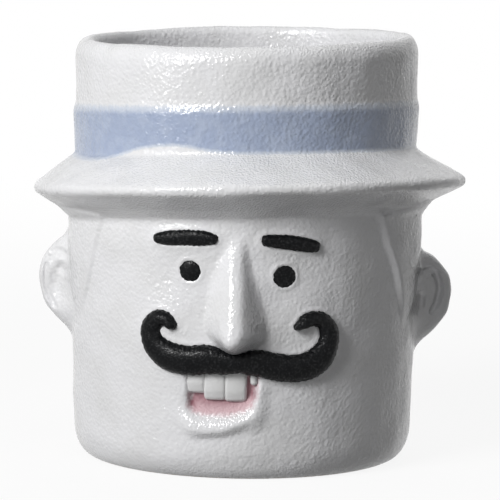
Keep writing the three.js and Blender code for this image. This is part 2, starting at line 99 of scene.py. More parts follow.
def curve_through(points: Rows, steps: int = 8) -> Array:
    """Samples a smooth curve through points.

    Args:
        points: The points, each with the same number of values.
        steps: Samples for each stretch between two points.

    Returns:
        The samples, one row each.
    """
    given = np.array(points, float)
    padded = np.vstack([2 * given[0] - given[1], given, 2 * given[-1] - given[-2]])
    share = np.linspace(0, 1, steps, endpoint=False)[:, None]
    rows = []
    for before, start, end, after in zip(padded, padded[1:], padded[2:], padded[3:]):
        rows.append(
            start
            + 0.5 * share * (end - before)
            + share**2 * (before - 2.5 * start + 2 * end - 0.5 * after)
            + share**3 * (1.5 * (start - end) + 0.5 * (after - before))
        )
    return np.vstack([*rows, given[-1:]])


def arc_points(centre: Pair, size: Pair, start: float, end: float, steps: int = 10) -> Array:
    """Points on a quarter or so of an ellipse, with its angles in degrees."""
    angles = np.radians(np.linspace(start, end, steps + 1))
    return np.column_stack([centre[0] + size[0] * np.cos(angles), centre[1] + size[1] * np.sin(angles)])


def soft_peak(*sides: Array) -> Array:
    """A soft peak, 1 where all sides are 0."""
    return np.exp(-sum(side**2 for side in sides))


def beside(u: Array, v: Array, start: Array, end: Array) -> tuple[Array, Array]:
    """Distance to the straight line between two points, and the share of its length where it is nearest."""
    way = end - start
    share = ((u - start[0]) * way[0] + (v - start[1]) * way[1]) / max(way @ way, 1e-9)
    share = np.clip(share, 0, 1)
    return np.hypot(u - start[0] - share * way[0], v - start[1] - share * way[1]), share


def outline_distance(u: Array, v: Array, outline: Array) -> Array:
    """Signed distance to a closed outline, negative inside it."""
    nearest = np.full(u.shape, np.inf)
    inside = np.zeros(u.shape, bool)
    for start, end in zip(outline, np.roll(outline, -1, axis=0)):
        nearest = np.minimum(nearest, beside(u, v, start, end)[0])
        edge = end - start
        if edge[1]:
            crosses = (start[1] > v) != (end[1] > v)
            inside ^= crosses & (u < start[0] + (v - start[1]) * edge[0] / edge[1])
    return np.where(inside, -nearest, nearest)


@dataclass
class Table:
    """A function of two lengths, kept on a fine grid and read in between.

    Attributes:
        low: Lowest corner of the grid.
        pitch: Distance between two grid points.
        values: The function on the grid.
    """

    low: Pair
    pitch: float
    values: Array

    @classmethod
    def of(cls, low: Pair, high: Pair, pitch: float, function: Callable[[Array, Array], Array]) -> "Table":
        """Fills a table from a function of two arrays."""
        sides = [np.arange(start, end + pitch, pitch) for start, end in zip(low, high)]
        return cls(low, pitch, function(*np.meshgrid(*sides, indexing="ij")))

    def softened(self, radius: float) -> "Table":
        """The table blurred with a bell of that radius, which rounds every edge and hollow."""
        reach = max(1, round(3 * radius / self.pitch))
        bell = np.exp(-0.5 * (np.arange(-reach, reach + 1) * self.pitch / radius) ** 2)
        bell /= bell.sum()
        values = self.values
        for axis in (0, 1):
            padded = np.pad(values, [(reach, reach) if side == axis else (0, 0) for side in (0, 1)], "edge")
            values = sum(
                weight * np.take(padded, np.arange(index, index + values.shape[axis]), axis)
                for index, weight in enumerate(bell)
            )
        return Table(self.low, self.pitch, values)

    def steepness(self) -> "Table":
        """How much longer the surface of this height map is than its ground, at each point."""
        slopes = np.gradient(self.values, self.pitch)
        return Table(self.low, self.pitch, np.sqrt(1 + slopes[0] ** 2 + slopes[1] ** 2))

    def read(self, u: Array, v: Array) -> Array:
        """The function at the given places, each held inside the grid."""
        rows, columns = self.values.shape
        row = np.clip((u - self.low[0]) / self.pitch, 0, rows - 1.001)
        column = np.clip((v - self.low[1]) / self.pitch, 0, columns - 1.001)
        whole_row, whole_column = row.astype(np.int64), column.astype(np.int64)
        row, column = row - whole_row, column - whole_column
        at = whole_row * columns + whole_column
        flat = self.values.ravel()
        near = flat[at] * (1 - column) + flat[at + 1] * column
        far = flat[at + columns] * (1 - column) + flat[at + columns + 1] * column
        return near * (1 - row) + far * row


@dataclass
class Waves:
    """Soft random swell through space, from plane waves of random heading.

    Attributes:
        length: Mean wavelength in millimetres.
        height: Root mean square height in millimetres.
        seed: Seed of the headings and phases.
        count: Number of waves.
    """

    length: float
    height: float
    seed: int
    count: int = 10
    headings: Array = field(init=False)
    phases: Array = field(init=False)

    def __post_init__(self) -> None:
        """Draws the headings and phases."""
        draw = np.random.default_rng(self.seed)
        headings = draw.normal(size=(self.count, 3))
        headings /= np.linalg.norm(headings, axis=1, keepdims=True)
        lengths = self.length * draw.uniform(0.75, 1.35, size=(self.count, 1))
        self.headings = headings * 2 * math.pi / lengths
        self.phases = draw.uniform(0, 2 * math.pi, size=self.count)

    def at(self, points: Array) -> Array:
        """The swell's height at points in millimetres."""
        total = np.zeros(len(points))
        for heading, phase in zip(self.headings, self.phases):
            total += np.sin(points @ heading + phase)
        return total * self.height * math.sqrt(2 / self.count)


# Meshing


@dataclass
class Shell:
    """A surface as points in millimetres and faces with four corners.

    Attributes:
        points: One row for each point.
        quads: Point numbers, four to a face.
    """

    points: Array
    quads: Array

    def part(self, chosen: Array) -> "Shell":
        """The chosen faces, with only the points that they use."""
        quads = self.quads[chosen]
        used, numbers = np.unique(quads, return_inverse=True)
        return Shell(self.points[used], numbers.reshape(quads.shape))

    def divided(self) -> "Shell":
        """Each face split into four, with new points at the middles of its edges and in its centre."""
        count = len(self.points)
        ends = np.stack([self.quads, np.roll(self.quads, -1, axis=1)], axis=2)
        pairs, numbers = np.unique(np.sort(ends, axis=2).reshape(-1, 2), axis=0, return_inverse=True)
        middles = count + numbers.reshape(self.quads.shape)
        centres = count + len(pairs) + np.arange(len(self.quads))
        corners = [
            np.stack([self.quads[:, side], middles[:, side], centres, middles[:, side - 1]], axis=1)
            for side in range(4)
        ]
        points = [self.points, self.points[pairs].mean(axis=1), self.points[self.quads].mean(axis=1)]
        return Shell(np.vstack(points), np.vstack(corners))


def gradient(distance: Distance, points: Array, reach: float) -> Array:
    """Slope of a field at points, measured over reach to each side."""
    slopes = np.empty_like(points)
    for axis in range(3):
        step = np.zeros(3)
        step[axis] = reach
        slopes[:, axis] = (distance(points + step) - distance(points - step)) / (2 * reach)
    return slopes


def laid_on(distance: Distance, points: Array, reach: float, rounds: int = 2) -> tuple[Array, Array]:
    """Moves points onto the surface of a field.

    Args:
        distance: The field.
        points: Points near its surface.
        reach: Distance over which its slope is measured, and the most that a point moves in a round.
        rounds: How often the points are moved.

    Returns:
        The moved points, and the unit normals of the surface there.
    """
    for _ in range(rounds):
        slopes = gradient(distance, points, reach)
        squares = np.maximum((slopes**2).sum(axis=1), 1e-3)
        moves = slopes * (distance(points) / squares)[:, None]
        lengths = np.linalg.norm(moves, axis=1, keepdims=True)
        points = points - moves * np.minimum(1, reach / np.maximum(lengths, 1e-9))
    return points, slopes / np.maximum(np.linalg.norm(slopes, axis=1, keepdims=True), 1e-9)


COARSE_STEP = 3  # cells between two coarse samples
COARSE_MARGIN = 1.15  # for the blends, which stretch the field a little
BATCH = 400_000  # points worked out at a time


def corner_views(cells: Sequence[int]) -> dict[tuple[int, ...], tuple[slice, ...]]:
    """For each of the eight corners of a cell, the slices of the lattice that hold it for all cells."""
    return {
        corner: tuple(slice(offset, offset + count) for offset, count in zip(corner, cells))
        for corner in np.ndindex(2, 2, 2)
    }


def sampled(distance: Distance, low: Array, counts: Array, pitch: float) -> Array:
    """Samples a field on a lattice, exactly only near its surface.

    Args:
        distance: The field, which never changes faster than the distance to its surface does.
        low: Lowest corner of the lattice.
        counts: Cells along each axis, in multiples of the coarse step.
        pitch: Side of a cell.

    Returns:
        The samples as an array of three dimensions, with the coarse samples where the surface is far.
    """
    coarse_sides = [low[axis] + np.arange(0, counts[axis] + 1, COARSE_STEP) * pitch for axis in range(3)]
    coarse = np.stack(np.meshgrid(*coarse_sides, indexing="ij"), axis=-1)
    values = distance(coarse.reshape(-1, 3)).reshape(coarse.shape[:3])
    near = np.abs(values) < COARSE_STEP * pitch * math.sqrt(3) * COARSE_MARGIN
    close = np.zeros([size - 1 for size in values.shape], bool)
    for view in corner_views(close.shape).values():
        close |= near[view]
    for axis in range(3):
        values = np.repeat(values, COARSE_STEP, axis)
        close = np.repeat(close, COARSE_STEP, axis)
    whole = tuple(counts + 1)
    values = values[tuple(slice(0, size) for size in whole)].astype(np.float32)
    wanted = np.zeros(whole, bool)
    for view in corner_views(close.shape).values():
        wanted[view] |= close
    places = np.argwhere(wanted)
    for start in range(0, len(places), BATCH):
        batch = places[start : start + BATCH]
        values[tuple(batch.T)] = distance(low + batch * pitch)
    return values


def meshed(distance: Distance, low: Sequence[float], high: Sequence[float], pitch: float) -> Shell:
    """Meshes the surface of a field with one point in each cell that it crosses.

    Args:
        distance: The field, in millimetres and negative inside.
        low: Lowest corner of the space to search.
        high: Its highest corner.
        pitch: Side of a cell.

    Returns:
        The surface, with its faces pointing out.
    """
    low = np.array(low, float)
    counts = np.ceil((np.array(high) - low) / pitch / COARSE_STEP).astype(int) * COARSE_STEP
    values = sampled(distance, low, counts, pitch)
    inside = values < 0
    cells = tuple(counts)
    corners = corner_views(cells)
    any_in = np.zeros(cells, bool)
    all_in = np.ones(cells, bool)
    for view in corners.values():
        any_in |= inside[view]
        all_in &= inside[view]
    crossed = any_in & ~all_in
    places = np.argwhere(crossed)
    numbers = np.full(cells, -1, np.int64)
    numbers[crossed] = np.arange(len(places))
    total = np.zeros((len(places), 3))
    hits = np.zeros((len(places), 1))
    for corner in corners:
        for axis in range(3):
            if corner[axis]:
                continue
            first = places + corner
            second = first.copy()
            second[:, axis] += 1
            start, end = values[tuple(first.T)], values[tuple(second.T)]
            hit = (start < 0) != (end < 0)
            share = start[hit] / (start[hit] - end[hit])
            crossing = first[hit].astype(float)
            crossing[:, axis] += share
            total[hit] += crossing
            hits[hit] += 1
    points = low + total / hits * pitch
    quads = []
    for axis in range(3):
        one, other = (axis + 1) % 3, (axis + 2) % 3
        start = [slice(1, size) for size in cells]
        end = list(start)
        start[axis] = slice(0, cells[axis])
        end[axis] = slice(1, cells[axis] + 1)
        here, there = inside[tuple(start)], inside[tuple(end)]
        for leaving in (True, False):
            edges = np.argwhere(here & ~there if leaving else ~here & there)
            edges[:, [one, other]] += 1
            ring = []
            for back_one, back_other in ((0, 0), (1, 0), (1, 1), (0, 1)):
                cell = edges.copy()
                cell[:, one] -= back_one
                cell[:, other] -= back_other
                ring.append(numbers[tuple(cell.T)])
            quads.append(np.stack(ring if leaving else ring[::-1], axis=1))
    return Shell(points, np.vstack(quads))


@dataclass(frozen=True)
class Role:
    """What a piece is in the part.

    Attributes:
        slot: Slot of the record that its finish belongs to; not used.
        nodes: CAD nodes that it stands for.
        body: Body that it moves with.
    """

    slot: str
    nodes: tuple[str, ...] = ()
    body: str = "planter"


def make_piece(
    name: str,
    shell: Shell,
    normals: Array,
    material: Material,
    role: Role,
    marks: Mapping[str, Array] | None = None,
) -> Object:
    """Makes a piece of the part from a surface in millimetres.

    Args:
        name: Name of the piece.
        shell: Its surface.
        normals: Unit normals at its points, which light follows.
        material: Its finish.
        role: What it is in the part.
        marks: Numbers at its points that the finish reads, by name.

    Returns:
        The object, in metres.
    """
    mesh = bpy.data.meshes.new(name)
    mesh.vertices.add(len(shell.points))
    mesh.vertices.foreach_set("co", (shell.points * MM).astype(np.float32).ravel())
    mesh.loops.add(shell.quads.size)
    mesh.loops.foreach_set("vertex_index", shell.quads.astype(np.int32).ravel())
    mesh.polygons.add(len(shell.quads))
    mesh.polygons.foreach_set("loop_start", np.arange(0, shell.quads.size, 4, dtype=np.int32))
    mesh.update(calc_edges=True)
    mesh.validate()
    mesh.polygons.foreach_set("use_smooth", np.ones(len(mesh.polygons), bool))
    mesh.normals_split_custom_set_from_vertices(normals.astype(np.float32))
    for mark, values in (marks or {}).items():
        layer = mesh.attributes.new(mark, "FLOAT", "POINT")
        layer.data.foreach_set("value", values.astype(np.float32))
    mesh.materials.append(material)
    piece = bpy.data.objects.new(name, mesh)
    bpy.context.scene.collection.objects.link(piece)
    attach(piece, role.body)
    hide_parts(*role.nodes)
    log.info("%s: %d faces", name, len(shell.quads))
    return piece


# Materials


def linear(colour: str) -> tuple[float, float, float, float]:
    """Turns an sRGB hex colour into linear values with full alpha."""
    levels = [int(colour[start : start + 2], 16) / 255 for start in (1, 3, 5)]
    red, green, blue = (
        level / 12.92 if level <= 0.04045 else ((level + 0.055) / 1.055) ** 2.4 for level in levels
    )
    return red, green, blue, 1.0


def add_node(
    tree: NodeTree, kind: str, inputs: Mapping[str | int, object] | None = None, **settings: object
) -> Node:
    """Adds a shader node to a tree.

    Args:
        tree: The tree.
        kind: The node's type, without ShaderNode.
        inputs: What its inputs get, by name or number: a value, a socket to link, or a node of which the
            first output in use is linked.
        **settings: Its other fields.

    Returns:
        The node.
    """
    node = tree.nodes.new("ShaderNode" + kind)
    for key, value in settings.items():
        setattr(node, key, value)
    for key, value in (inputs or {}).items():
        if isinstance(value, Node):
            value = next(socket for socket in value.outputs if socket.enabled)
        if isinstance(value, NodeSocket):
            tree.links.new(value, node.inputs[key])
        else:
            node.inputs[key].default_value = value
    return node


def new_material(name: str) -> tuple[Material, NodeTree]:
    """Makes a material with an empty node tree."""
    material = bpy.data.materials.new(name)
    material.use_nodes = True
    material.node_tree.nodes.clear()
    return material, material.node_tree


def per_metre(grain: float) -> float:
    """Scale of a noise texture whose grain is that many millimetres wide."""
    return 1 / (grain * MM)


@dataclass(frozen=True)
class StonewareGlaze:
    """White stoneware glaze, sprayed thick: an orange-peel skin with broken highlights, tinted by brush.

    Attributes:
        white: Colour of the bare glaze.
        thin: Colour where the glaze ran thin over the clay.
        band: Colour of the hat band's blue stain.
        band_brushed: The same in the brush marks.
        band_thin: Paler blue where it runs out thin at its edges, also painted light on its top ledge.
        lining: Pale pink of the mouth.
        mouthshade: Darker pink, painted shade in the mouth's depth under the teeth and in its corners.
        clay: Bare fired clay of the foot ring.
        grain: Width of the peel's pebbles in millimetres.
        fine_grain: Width of the finer pits on the brim, where it couldn't run.
        peel: Height of the pebbles in millimetres.
        thinner: Share of that height on the face, where the glaze was sprayed thinner than on the hat.
        thicker_from: Heights in millimetres between which it gets as thick as on the hat.
        level_from: Upward shares of the surface's direction between which the pebbles give way to the pits.
        brush_mark: Width of the band's brush marks in millimetres.
        gloss_patch: Width of the duller and shinier patches.
        cloud: Width of the clouds where the glaze is thin.
        shine: Roughness of the glaze.
        patchy: How much that roughness changes from patch to patch.
        dry: What the bare clay and the pink glaze add to it.
        ior: Refraction of the glaze, a little above window glass.
    """

    white: str = "#EDEDEF"
    thin: str = "#E8E8E9"
    band: str = "#A4B1CB"
    band_brushed: str = "#AEBAD1"
    band_thin: str = "#CED5E1"
    lining: str = "#D0AEB4"
    pool: str = "#84505A"
    clay: str = "#D8CFC2"
    grain: float = 1.0
    fine_grain: float = 0.58
    peel: float = 0.056
    thinner: float = 0.72
    thicker_from: Pair = (70.0, 95.0)
    level_from: Pair = (0.25, 0.65)
    brush_mark: float = 4.0
    gloss_patch: float = 5.0
    cloud: float = 14.0
    shine: float = 0.13
    patchy: float = 0.12
    dry: float = 0.4
    ior: float = 1.55

    def build(self) -> Material:
        """Makes the material, which reads the clay's marks: stain, blush, foot and the mouth's painted shade.
        """
        material, tree = new_material("glazed stoneware")
        place = add_node(tree, "TexCoord").outputs["Object"]
        grains = {
            name: add_node(
                tree,
                "TexNoise",
                {"Vector": place, "Scale": per_metre(width), "Detail": detail, "Roughness": 0.5},
            )
            for name, width, detail in (
                ("peel", self.grain * 1.5, 0.0),
                ("pits", self.fine_grain, 0.0),
                ("brush", self.brush_mark, 3.0),
                ("gloss", self.gloss_patch, 2.0),
                ("cloud", self.cloud, 3.0),
            )
        }
        edges = self.edges(tree, grains)
        dull = self.shine - self.patchy / 2
        dulled = (grains["gloss"], self.patchy), (edges["foot"], self.dry), (edges["blush"], self.dry)
        for source, share in dulled:
            dull = add_node(tree, "Math", {0: source, 1: share, 2: dull}, operation="MULTIPLY_ADD")
        glaze = add_node(
            tree,
            "BsdfPrincipled",
            {
                "Base Color": self.colour(tree, edges),
                "Roughness": dull,
                "IOR": self.ior,
                "Normal": self.skin(tree, place, grains),
            },
        )
        add_node(tree, "OutputMaterial", {"Surface": glaze})
        return material

    def edges(self, tree: NodeTree, grains: Mapping[str, Node]) -> dict[str, Node | NodeSocket]:
        """Shares of each tint: the marks with their edges made ragged by the grain, and the soft patches."""
        marks = {name: add_node(tree, "Attribute", attribute_name=name).outputs["Fac"] for name in CLAY_MARKS}
        wander = add_node(tree, "Math", {0: grains["peel"], 1: grains["pits"]}, operation="ADD")
        values = {name: grains[name] for name in ("cloud", "brush")}
        for name, reach in (("stain", 0.4), ("blush", 0.5), ("foot", 0.6)):
            ragged = add_node(tree, "Math", {0: wander, 1: reach, 2: -reach}, operation="MULTIPLY_ADD")
            values[name] = add_node(tree, "Math", {0: marks[name], 1: ragged}, operation="ADD")
        edges = {"pool": marks["pool"]}
        for name, source, start, full in (
            ("stain", "stain", -0.4, 0.5),
            ("full stain", "stain", 0.4, 1.5),
            ("blush", "blush", -0.45, 0.75),
            ("foot", "foot", 0.0, 0.35),
            ("cloud", "cloud", 0.38, 0.68),
            ("brush", "brush", 0.38, 0.68),
        ):
            edges[name] = add_node(
                tree,
                "MapRange",
                {"Value": values[source], "From Min": start, "From Max": full},
                interpolation_type="SMOOTHSTEP",
            )
        return edges

    def colour(self, tree: NodeTree, edges: Mapping[str, Node | NodeSocket]) -> Node:
        """Colour of the glaze: each tint laid over those before it."""
        tints = {
            name.replace("_", " "): linear(getattr(self, name))
            for name in ("white", "thin", "band", "band_brushed", "band_thin", "lining", "pool", "clay")
        }
        for result, share, low, high in (
            ("glaze", "cloud", "white", "thin"),
            ("brushed band", "brush", "band", "band brushed"),
            # the paler blue near the top edge also paints the light on the band's upward-facing ledge
            ("whole band", "full stain", "band thin", "brushed band"),
            ("with band", "stain", "glaze", "whole band"),
            # painted shade: the pink darkens deep in the mouth and in its corners
            ("mouth", "pool", "lining", "pool"),
            ("with mouth", "blush", "with band", "mouth"),
            ("whole", "foot", "with mouth", "clay"),
        ):
            tints[result] = add_node(
                tree, "Mix", {0: edges[share], 6: tints[low], 7: tints[high]}, data_type="RGBA"
            )
        return tints["whole"]

    def skin(self, tree: NodeTree, place: NodeSocket, grains: Mapping[str, Node]) -> Node:
        """Relief of the glaze: broad pebbles on upright walls and fine pits where the clay lies level."""
        pebbles = add_node(
            tree,
            "TexVoronoi",
            {"Vector": place, "Scale": per_metre(self.grain), "Smoothness": 1.0, "Randomness": 1.0},
            feature="SMOOTH_F1",
        )
        height = 0.0
        for source, share in ((pebbles, -1.3), (grains["peel"], 0.8), (grains["pits"], 0.3)):
            height = add_node(tree, "Math", {0: source, 1: share, 2: height}, operation="MULTIPLY_ADD")
        fine = add_node(tree, "Math", {0: grains["pits"], 1: 1.7}, operation="MULTIPLY")
        normal = add_node(tree, "NewGeometry").outputs["Normal"]
        upright = add_node(tree, "SeparateXYZ", {0: normal}).outputs["Z"]
        sloping = add_node(tree, "Math", {0: upright}, operation="ABSOLUTE")
        start, full = self.level_from
        level = add_node(tree, "MapRange", {"Value": sloping, "From Min": start, "From Max": full})
        height = add_node(tree, "Mix", {0: level, 2: height, 3: fine})
        upward = add_node(tree, "SeparateXYZ", {0: place}).outputs["Z"]
        start, full = self.thicker_from
        thickness = add_node(
            tree,
            "MapRange",
            {"Value": upward, "From Min": start * MM, "From Max": full * MM, "To Min": self.thinner},
        )
        height = add_node(tree, "Math", {0: height, 1: thickness}, operation="MULTIPLY")
        return add_node(
            tree, "Bump", {"Strength": 1.0, "Distance": self.peel * MM * NOISE_SPAN, "Height": height}
        )


@dataclass(frozen=True)
class RubbedFinish:
    """A dull finish whose raised grain is rubbed a little lighter.

    The black underglaze was trailed on in relief and fired dry. The plug is moulded rubber with a faint
    bloom.

    Attributes:
        name: Common name of the material and how it was made.
        dark: Its colour.
        rubbed: Its colour on the grain.
        grain: Width of the grain in millimetres.
        relief: Height of the grain in millimetres.
        dull: Roughness.
        shine: Level of its mirror-like part, less than a glaze's where the surface is porous.
        glitter: Strength of the glassy grains scattered in it.
        glitter_dull: Roughness of those grains.
        patch: Width of its duller and shinier patches in millimetres.
        patchy: How much the roughness changes from patch to patch.
    """

    name: str
    dark: str
    rubbed: str
    grain: float
    relief: float
    dull: float
    shine: float
    glitter: float = 0.0
    glitter_dull: float = 0.2
    patch: float = 4.0
    patchy: float = 0.3

    def build(self) -> Material:
        """Makes the material."""
        material, tree = new_material(self.name)
        place = add_node(tree, "TexCoord").outputs["Object"]
        speck, swell = (
            add_node(tree, "TexNoise", {"Vector": place, "Scale": per_metre(width), "Detail": 2.0})
            for width in (self.grain, self.patch)
        )
        lit = add_node(
            tree,
            "MapRange",
            {"Value": speck, "From Min": 0.45, "From Max": 0.75},
            interpolation_type="SMOOTHSTEP",
        )
        tints = linear(self.dark), linear(self.rubbed)
        colour = add_node(tree, "Mix", {0: lit, 6: tints[0], 7: tints[1]}, data_type="RGBA")
        dull = add_node(
            tree,
            "Math",
            {0: swell, 1: self.patchy, 2: self.dull - self.patchy / 2},
            operation="MULTIPLY_ADD",
        )
        glassy = add_node(
            tree, "MapRange", {"Value": speck, "From Min": 0.52, "From Max": 0.66, "To Max": self.glitter}
        )
        bump = add_node(
            tree, "Bump", {"Strength": 1.0, "Distance": self.relief * MM * NOISE_SPAN, "Height": speck}
        )
        finish = add_node(
            tree,
            "BsdfPrincipled",
            {
                "Base Color": colour,
                "Roughness": dull,
                "Specular IOR Level": self.shine,
                "Normal": bump,
                "Coat Weight": glassy,
                "Coat Roughness": self.glitter_dull,
                "Coat Normal": bump,
            },
        )
        add_node(tree, "OutputMaterial", {"Surface": finish})
        return material


NOISE_SPAN = 3  # a noise texture uses about a third of its range
# marks that the glaze reads; the third one is painted shade deep in the mouth
CLAY_MARKS = ("stain", "blush", "pool", "foot")
UNMARKED = -5.0  # a mark's value far from its region, in millimetres
BORDER = 2.0  # millimetres of white glaze that the piece of the band has above and below its stain

# Dry black underglaze: charcoal, with a speckled sheen where the light grazes it.
BLACK_UNDERGLAZE = RubbedFinish("trailed black underglaze", "#0A0B0D", "#0F1013", 0.5, 0.035, 0.33, 0.1, 0.4)
# Moulded rubber: dark grey and dull, with a bloom of a lighter grey.
PLUG_RUBBER = RubbedFinish("moulded rubber", "#3E3F43", "#56575B", 0.6, 0.03, 0.75, 0.4)
# Glazed teeth: the pot's glaze without stain, greyed as painted shade of the mouth, more so in random clouds.
SHADED_TOOTH_GLAZE = StonewareGlaze(white="#E3E3E3", thin="#DBDBDA", peel=0.03, shine=0.2)


# The pot


@dataclass
class TurnedPot:
    """The turned and leaning pot: wall, brim, crown, rim and inside, in millimetres.

    Attributes:
        axis_x: The head's axis, left of the brim's middle.
        jaw: Outer radius of the wall at the heel.
        temple: Outer radius at the hat line.
        crown_foot: Outer radius at the crease between brim and crown.
        crown_top: Outer radius at the shoulder.
        brim: Radius of the brim.
        heel: Height of the rounding above the foot.
        hat_line: Height at which the underside of the brim meets the wall.
        crease: Height of the crease between brim and crown.
        brim_tip: Height of the middle of the brim's tip.
        shoulder: Height at which the rim's rounding starts.
        rim: Height of the rim.
        band: Height of the hat band.
        band_proud: How far the band stands out from the crown.
        lean_back: Degrees by which the front of the brim is up.
        lean_side: Degrees by which the right of the brim is up.
        rim_share: Share of the side lean that is left at the rim.
        lean_fade: Power with which the lean back dies out up the crown.
        softness: Radius over which edges and creases are softened by the glaze.
    """

    axis_x: float = -1.4
    jaw: float = 51.5
    temple: float = 53.6
    crown_foot: float = 51.1
    crown_top: float = 52.1
    brim: float = 65.75
    heel: float = 10.0
    hat_line: float = 74.2
    crease: float = 93.0
    brim_tip: float = 82.8
    shoulder: float = 121.9
    rim: float = 127.75
    band: float = 15.3
    band_proud: float = 0.6
    lean_back: float = 4.1
    lean_side: float = 1.7
    rim_share: float = 0.7
    lean_fade: float = 1.6
    softness: float = 0.6
    section: Table = field(init=False)

    def __post_init__(self) -> None:
        """Works out the table of distances to the turned section."""
        outline = self.outline()
        sharp = Table.of((0, -4), (70, 133), 0.25, lambda r, z: outline_distance(r, z, outline))
        self.section = sharp.softened(self.softness)

    @property
    def band_top(self) -> float:
        """Height of the upper edge of the hat band."""
        return self.crease + self.band

    def outline(self) -> Array:
        """The turned section as a closed outline of radius and height."""
        heel_round, tip_round, rim_round, lip_round, floor_round = 5.4, 1.9, 3.9, 1.8, 5.0
        bore, seat, seat_depth, ring, ring_lift = 6.0, 9.3, 0.6, 36.5, 1.6
        mouth, inside, floor = 48.0, 44.4, 8.0
        foot = self.jaw - heel_round
        tip = self.brim - tip_round
        slope = (self.brim_tip - tip_round - self.hat_line) / (tip - self.temple)
        proud = self.band_proud
        crown = self.crown_foot, self.crown_foot + (self.crown_top - self.crown_foot) * 0.53
        rim = self.crown_top - rim_round, self.rim - self.shoulder
        return np.vstack([
            [(bore, ring_lift), (ring, ring_lift), (ring + 1.6, 0.05)],
            arc_points((foot, self.heel), (heel_round, self.heel - 0.05), -90, 0),
            [(self.temple, self.hat_line), (self.temple + 3.3, self.hat_line + 4.1 * slope)],
            arc_points((tip, self.brim_tip), (tip_round, tip_round), -62, 50),
            [(crown[0] + proud, self.crease)],
            [(crown[1] + proud, self.band_top - 2.4), (crown[1] - 0.1, self.band_top + 0.3)],
            arc_points((rim[0], self.shoulder), (rim_round, rim[1]), 0, 90),
            arc_points((mouth, self.rim - lip_round), (lip_round, lip_round), 90, 180)[1:],
            [(inside, floor + floor_round)],
            arc_points((inside - floor_round, floor + floor_round), (floor_round, floor_round), 0, -90)[1:],
            [(seat + 0.3, floor), (seat, floor - seat_depth), (bore, floor - seat_depth)],
        ])

    def lift(self, x: Array, y: Array, level: Array) -> Array:
        """How far the leaning hat lifts the clay at a level, x and y being from the head's axis."""
        rise = np.clip((level - self.crease) / (self.rim - self.crease), 0, 1)
        fade = np.clip((level - self.heel) / (self.hat_line - self.heel), 0, 1)
        side = math.tan(math.radians(self.lean_side)) * x * (1 + (self.rim_share - 1) * rise)
        back = math.tan(math.radians(self.lean_back)) * -y * (1 - rise**self.lean_fade)
        return fade * (side + back)

    def level(self, x: Array, y: Array, z: Array) -> Array:
        """Height that a point had before the hat leaned."""
        level = z
        for _ in range(3):
            level = z - self.lift(x, y, level)
        return level

    def wall(self, z: Array, angle: Array) -> Array:
        """Outer radius of the wall below the hat line, at an angle in radians from the front."""
        x, y = self.temple * np.sin(angle), -self.temple * np.cos(angle)
        top = self.hat_line + self.lift(x, y, np.full_like(x, self.hat_line))
        return self.jaw + (self.temple - self.jaw) * (z - self.heel) / (top - self.heel)

    def distance(self, x: Array, y: Array, level: Array, radius: Array) -> Array:
        """Distance to the turned clay, with the brim moved over to its own middle."""
        shift = -self.axis_x * np.clip((radius - self.temple) / (self.brim - self.temple), 0, 1)
        return self.section.read(np.hypot(x - shift, y), level)


@dataclass
class Stroke:
    """A line of varying width on a sheet of two lengths, such as the wall's arc and height.

    Attributes:
        line: Points, each with its two lengths and the line's half width there.
        margin: How far round the line distances are told apart.
        pitch: Fineness of its tables.
    """

    line: Rows
    margin: float = 5.0
    pitch: float = 0.2
    across: Table = field(init=False)
    width: Table = field(init=False)

    def __post_init__(self) -> None:
        """Works out tables of the distance to the middle line and of the half width there."""
        samples = curve_through(self.line, 10)
        reach = self.margin + samples[:, 2].max()
        low, high = samples[:, :2].min(axis=0) - reach, samples[:, :2].max(axis=0) + reach
        u, v = np.meshgrid(*(np.arange(*side, self.pitch) for side in zip(low, high)), indexing="ij")
        edge_distance = np.full(u.shape, np.inf)
        across, width = np.zeros(u.shape), np.zeros(u.shape)
        for start, end in zip(samples, samples[1:]):
            gap, share = beside(u, v, start[:2], end[:2])
            half = start[2] + share * (end[2] - start[2])
            nearer = gap - half < edge_distance
            edge_distance = np.where(nearer, gap - half, edge_distance)
            across, width = np.where(nearer, gap, across), np.where(nearer, half, width)
        self.across = Table(tuple(low), self.pitch, across)
        self.width = Table(tuple(low), self.pitch, width)

    def outside(self, u: Array, v: Array) -> Array:
        """Distance outside the line's edge, which doesn't rise further beyond the margin."""
        return self.across.read(u, v) - self.width.read(u, v)

    def roll(self, u: Array, v: Array, spread: float = 1.0) -> Array:
        """Height of a round roll as wide as the line times spread, 1 at its middle."""
        share = self.across.read(u, v) / (self.width.read(u, v) * spread)
        return np.sqrt(np.clip(1 - share**2, 0, 1))


FACE_RADIUS = 53.0  # radius on which arcs are measured round the head, from the front to the right
INNER_RADIUS = 46.0  # radius within the thickness of the wall, to tell its inside from its outside
LEFT_EYE = ((-16.2, 62.2, 3.25), (-15.7, 62.2, 3.25))
RIGHT_EYE = ((11.8, 61.1, 3.5), (12.1, 61.1, 3.5))
LEFT_BROW = ((-25.5, 71.3, 1.75), (-21.8, 71.6, 2.25), (-17, 72, 2.4), (-12.4, 72.1, 2.3), (-9.2, 72, 1.75))
RIGHT_BROW = ((6.6, 71.7, 1.85), (10, 71.4, 2.1), (14, 71, 2.25), (17.8, 70.3, 2.2), (20.7, 69.8, 1.85))
MOUSTACHE = (
    (-21.3, 46.2, 1.75), (-23.2, 47.7, 2.3), (-25.9, 47.5, 2.8), (-27.9, 44.9, 3.25), (-27.6, 41.8, 3.5),
    (-25.9, 39, 4), (-22.8, 36.9, 4.5), (-19, 36, 4.5), (-14.9, 35.8, 4.45), (-10.9, 36.3, 4.4),
    (-6.3, 35.9, 3.9), (-1.2, 35.8, 3.3), (2.2, 35.8, 3.8), (6, 35.3, 4), (10.6, 34.3, 4.1),
    (15.4, 33.9, 4.1), (19.5, 34.5, 4.2), (23.1, 36.5, 4.2), (25.4, 39.9, 3.6), (26, 44, 3.2),
    (24.2, 47.4, 2.6), (21.1, 48.5, 2.3), (18.5, 47.8, 2.2), (16.7, 46.6, 1.4), (15.6, 46.1, 0.8),
)


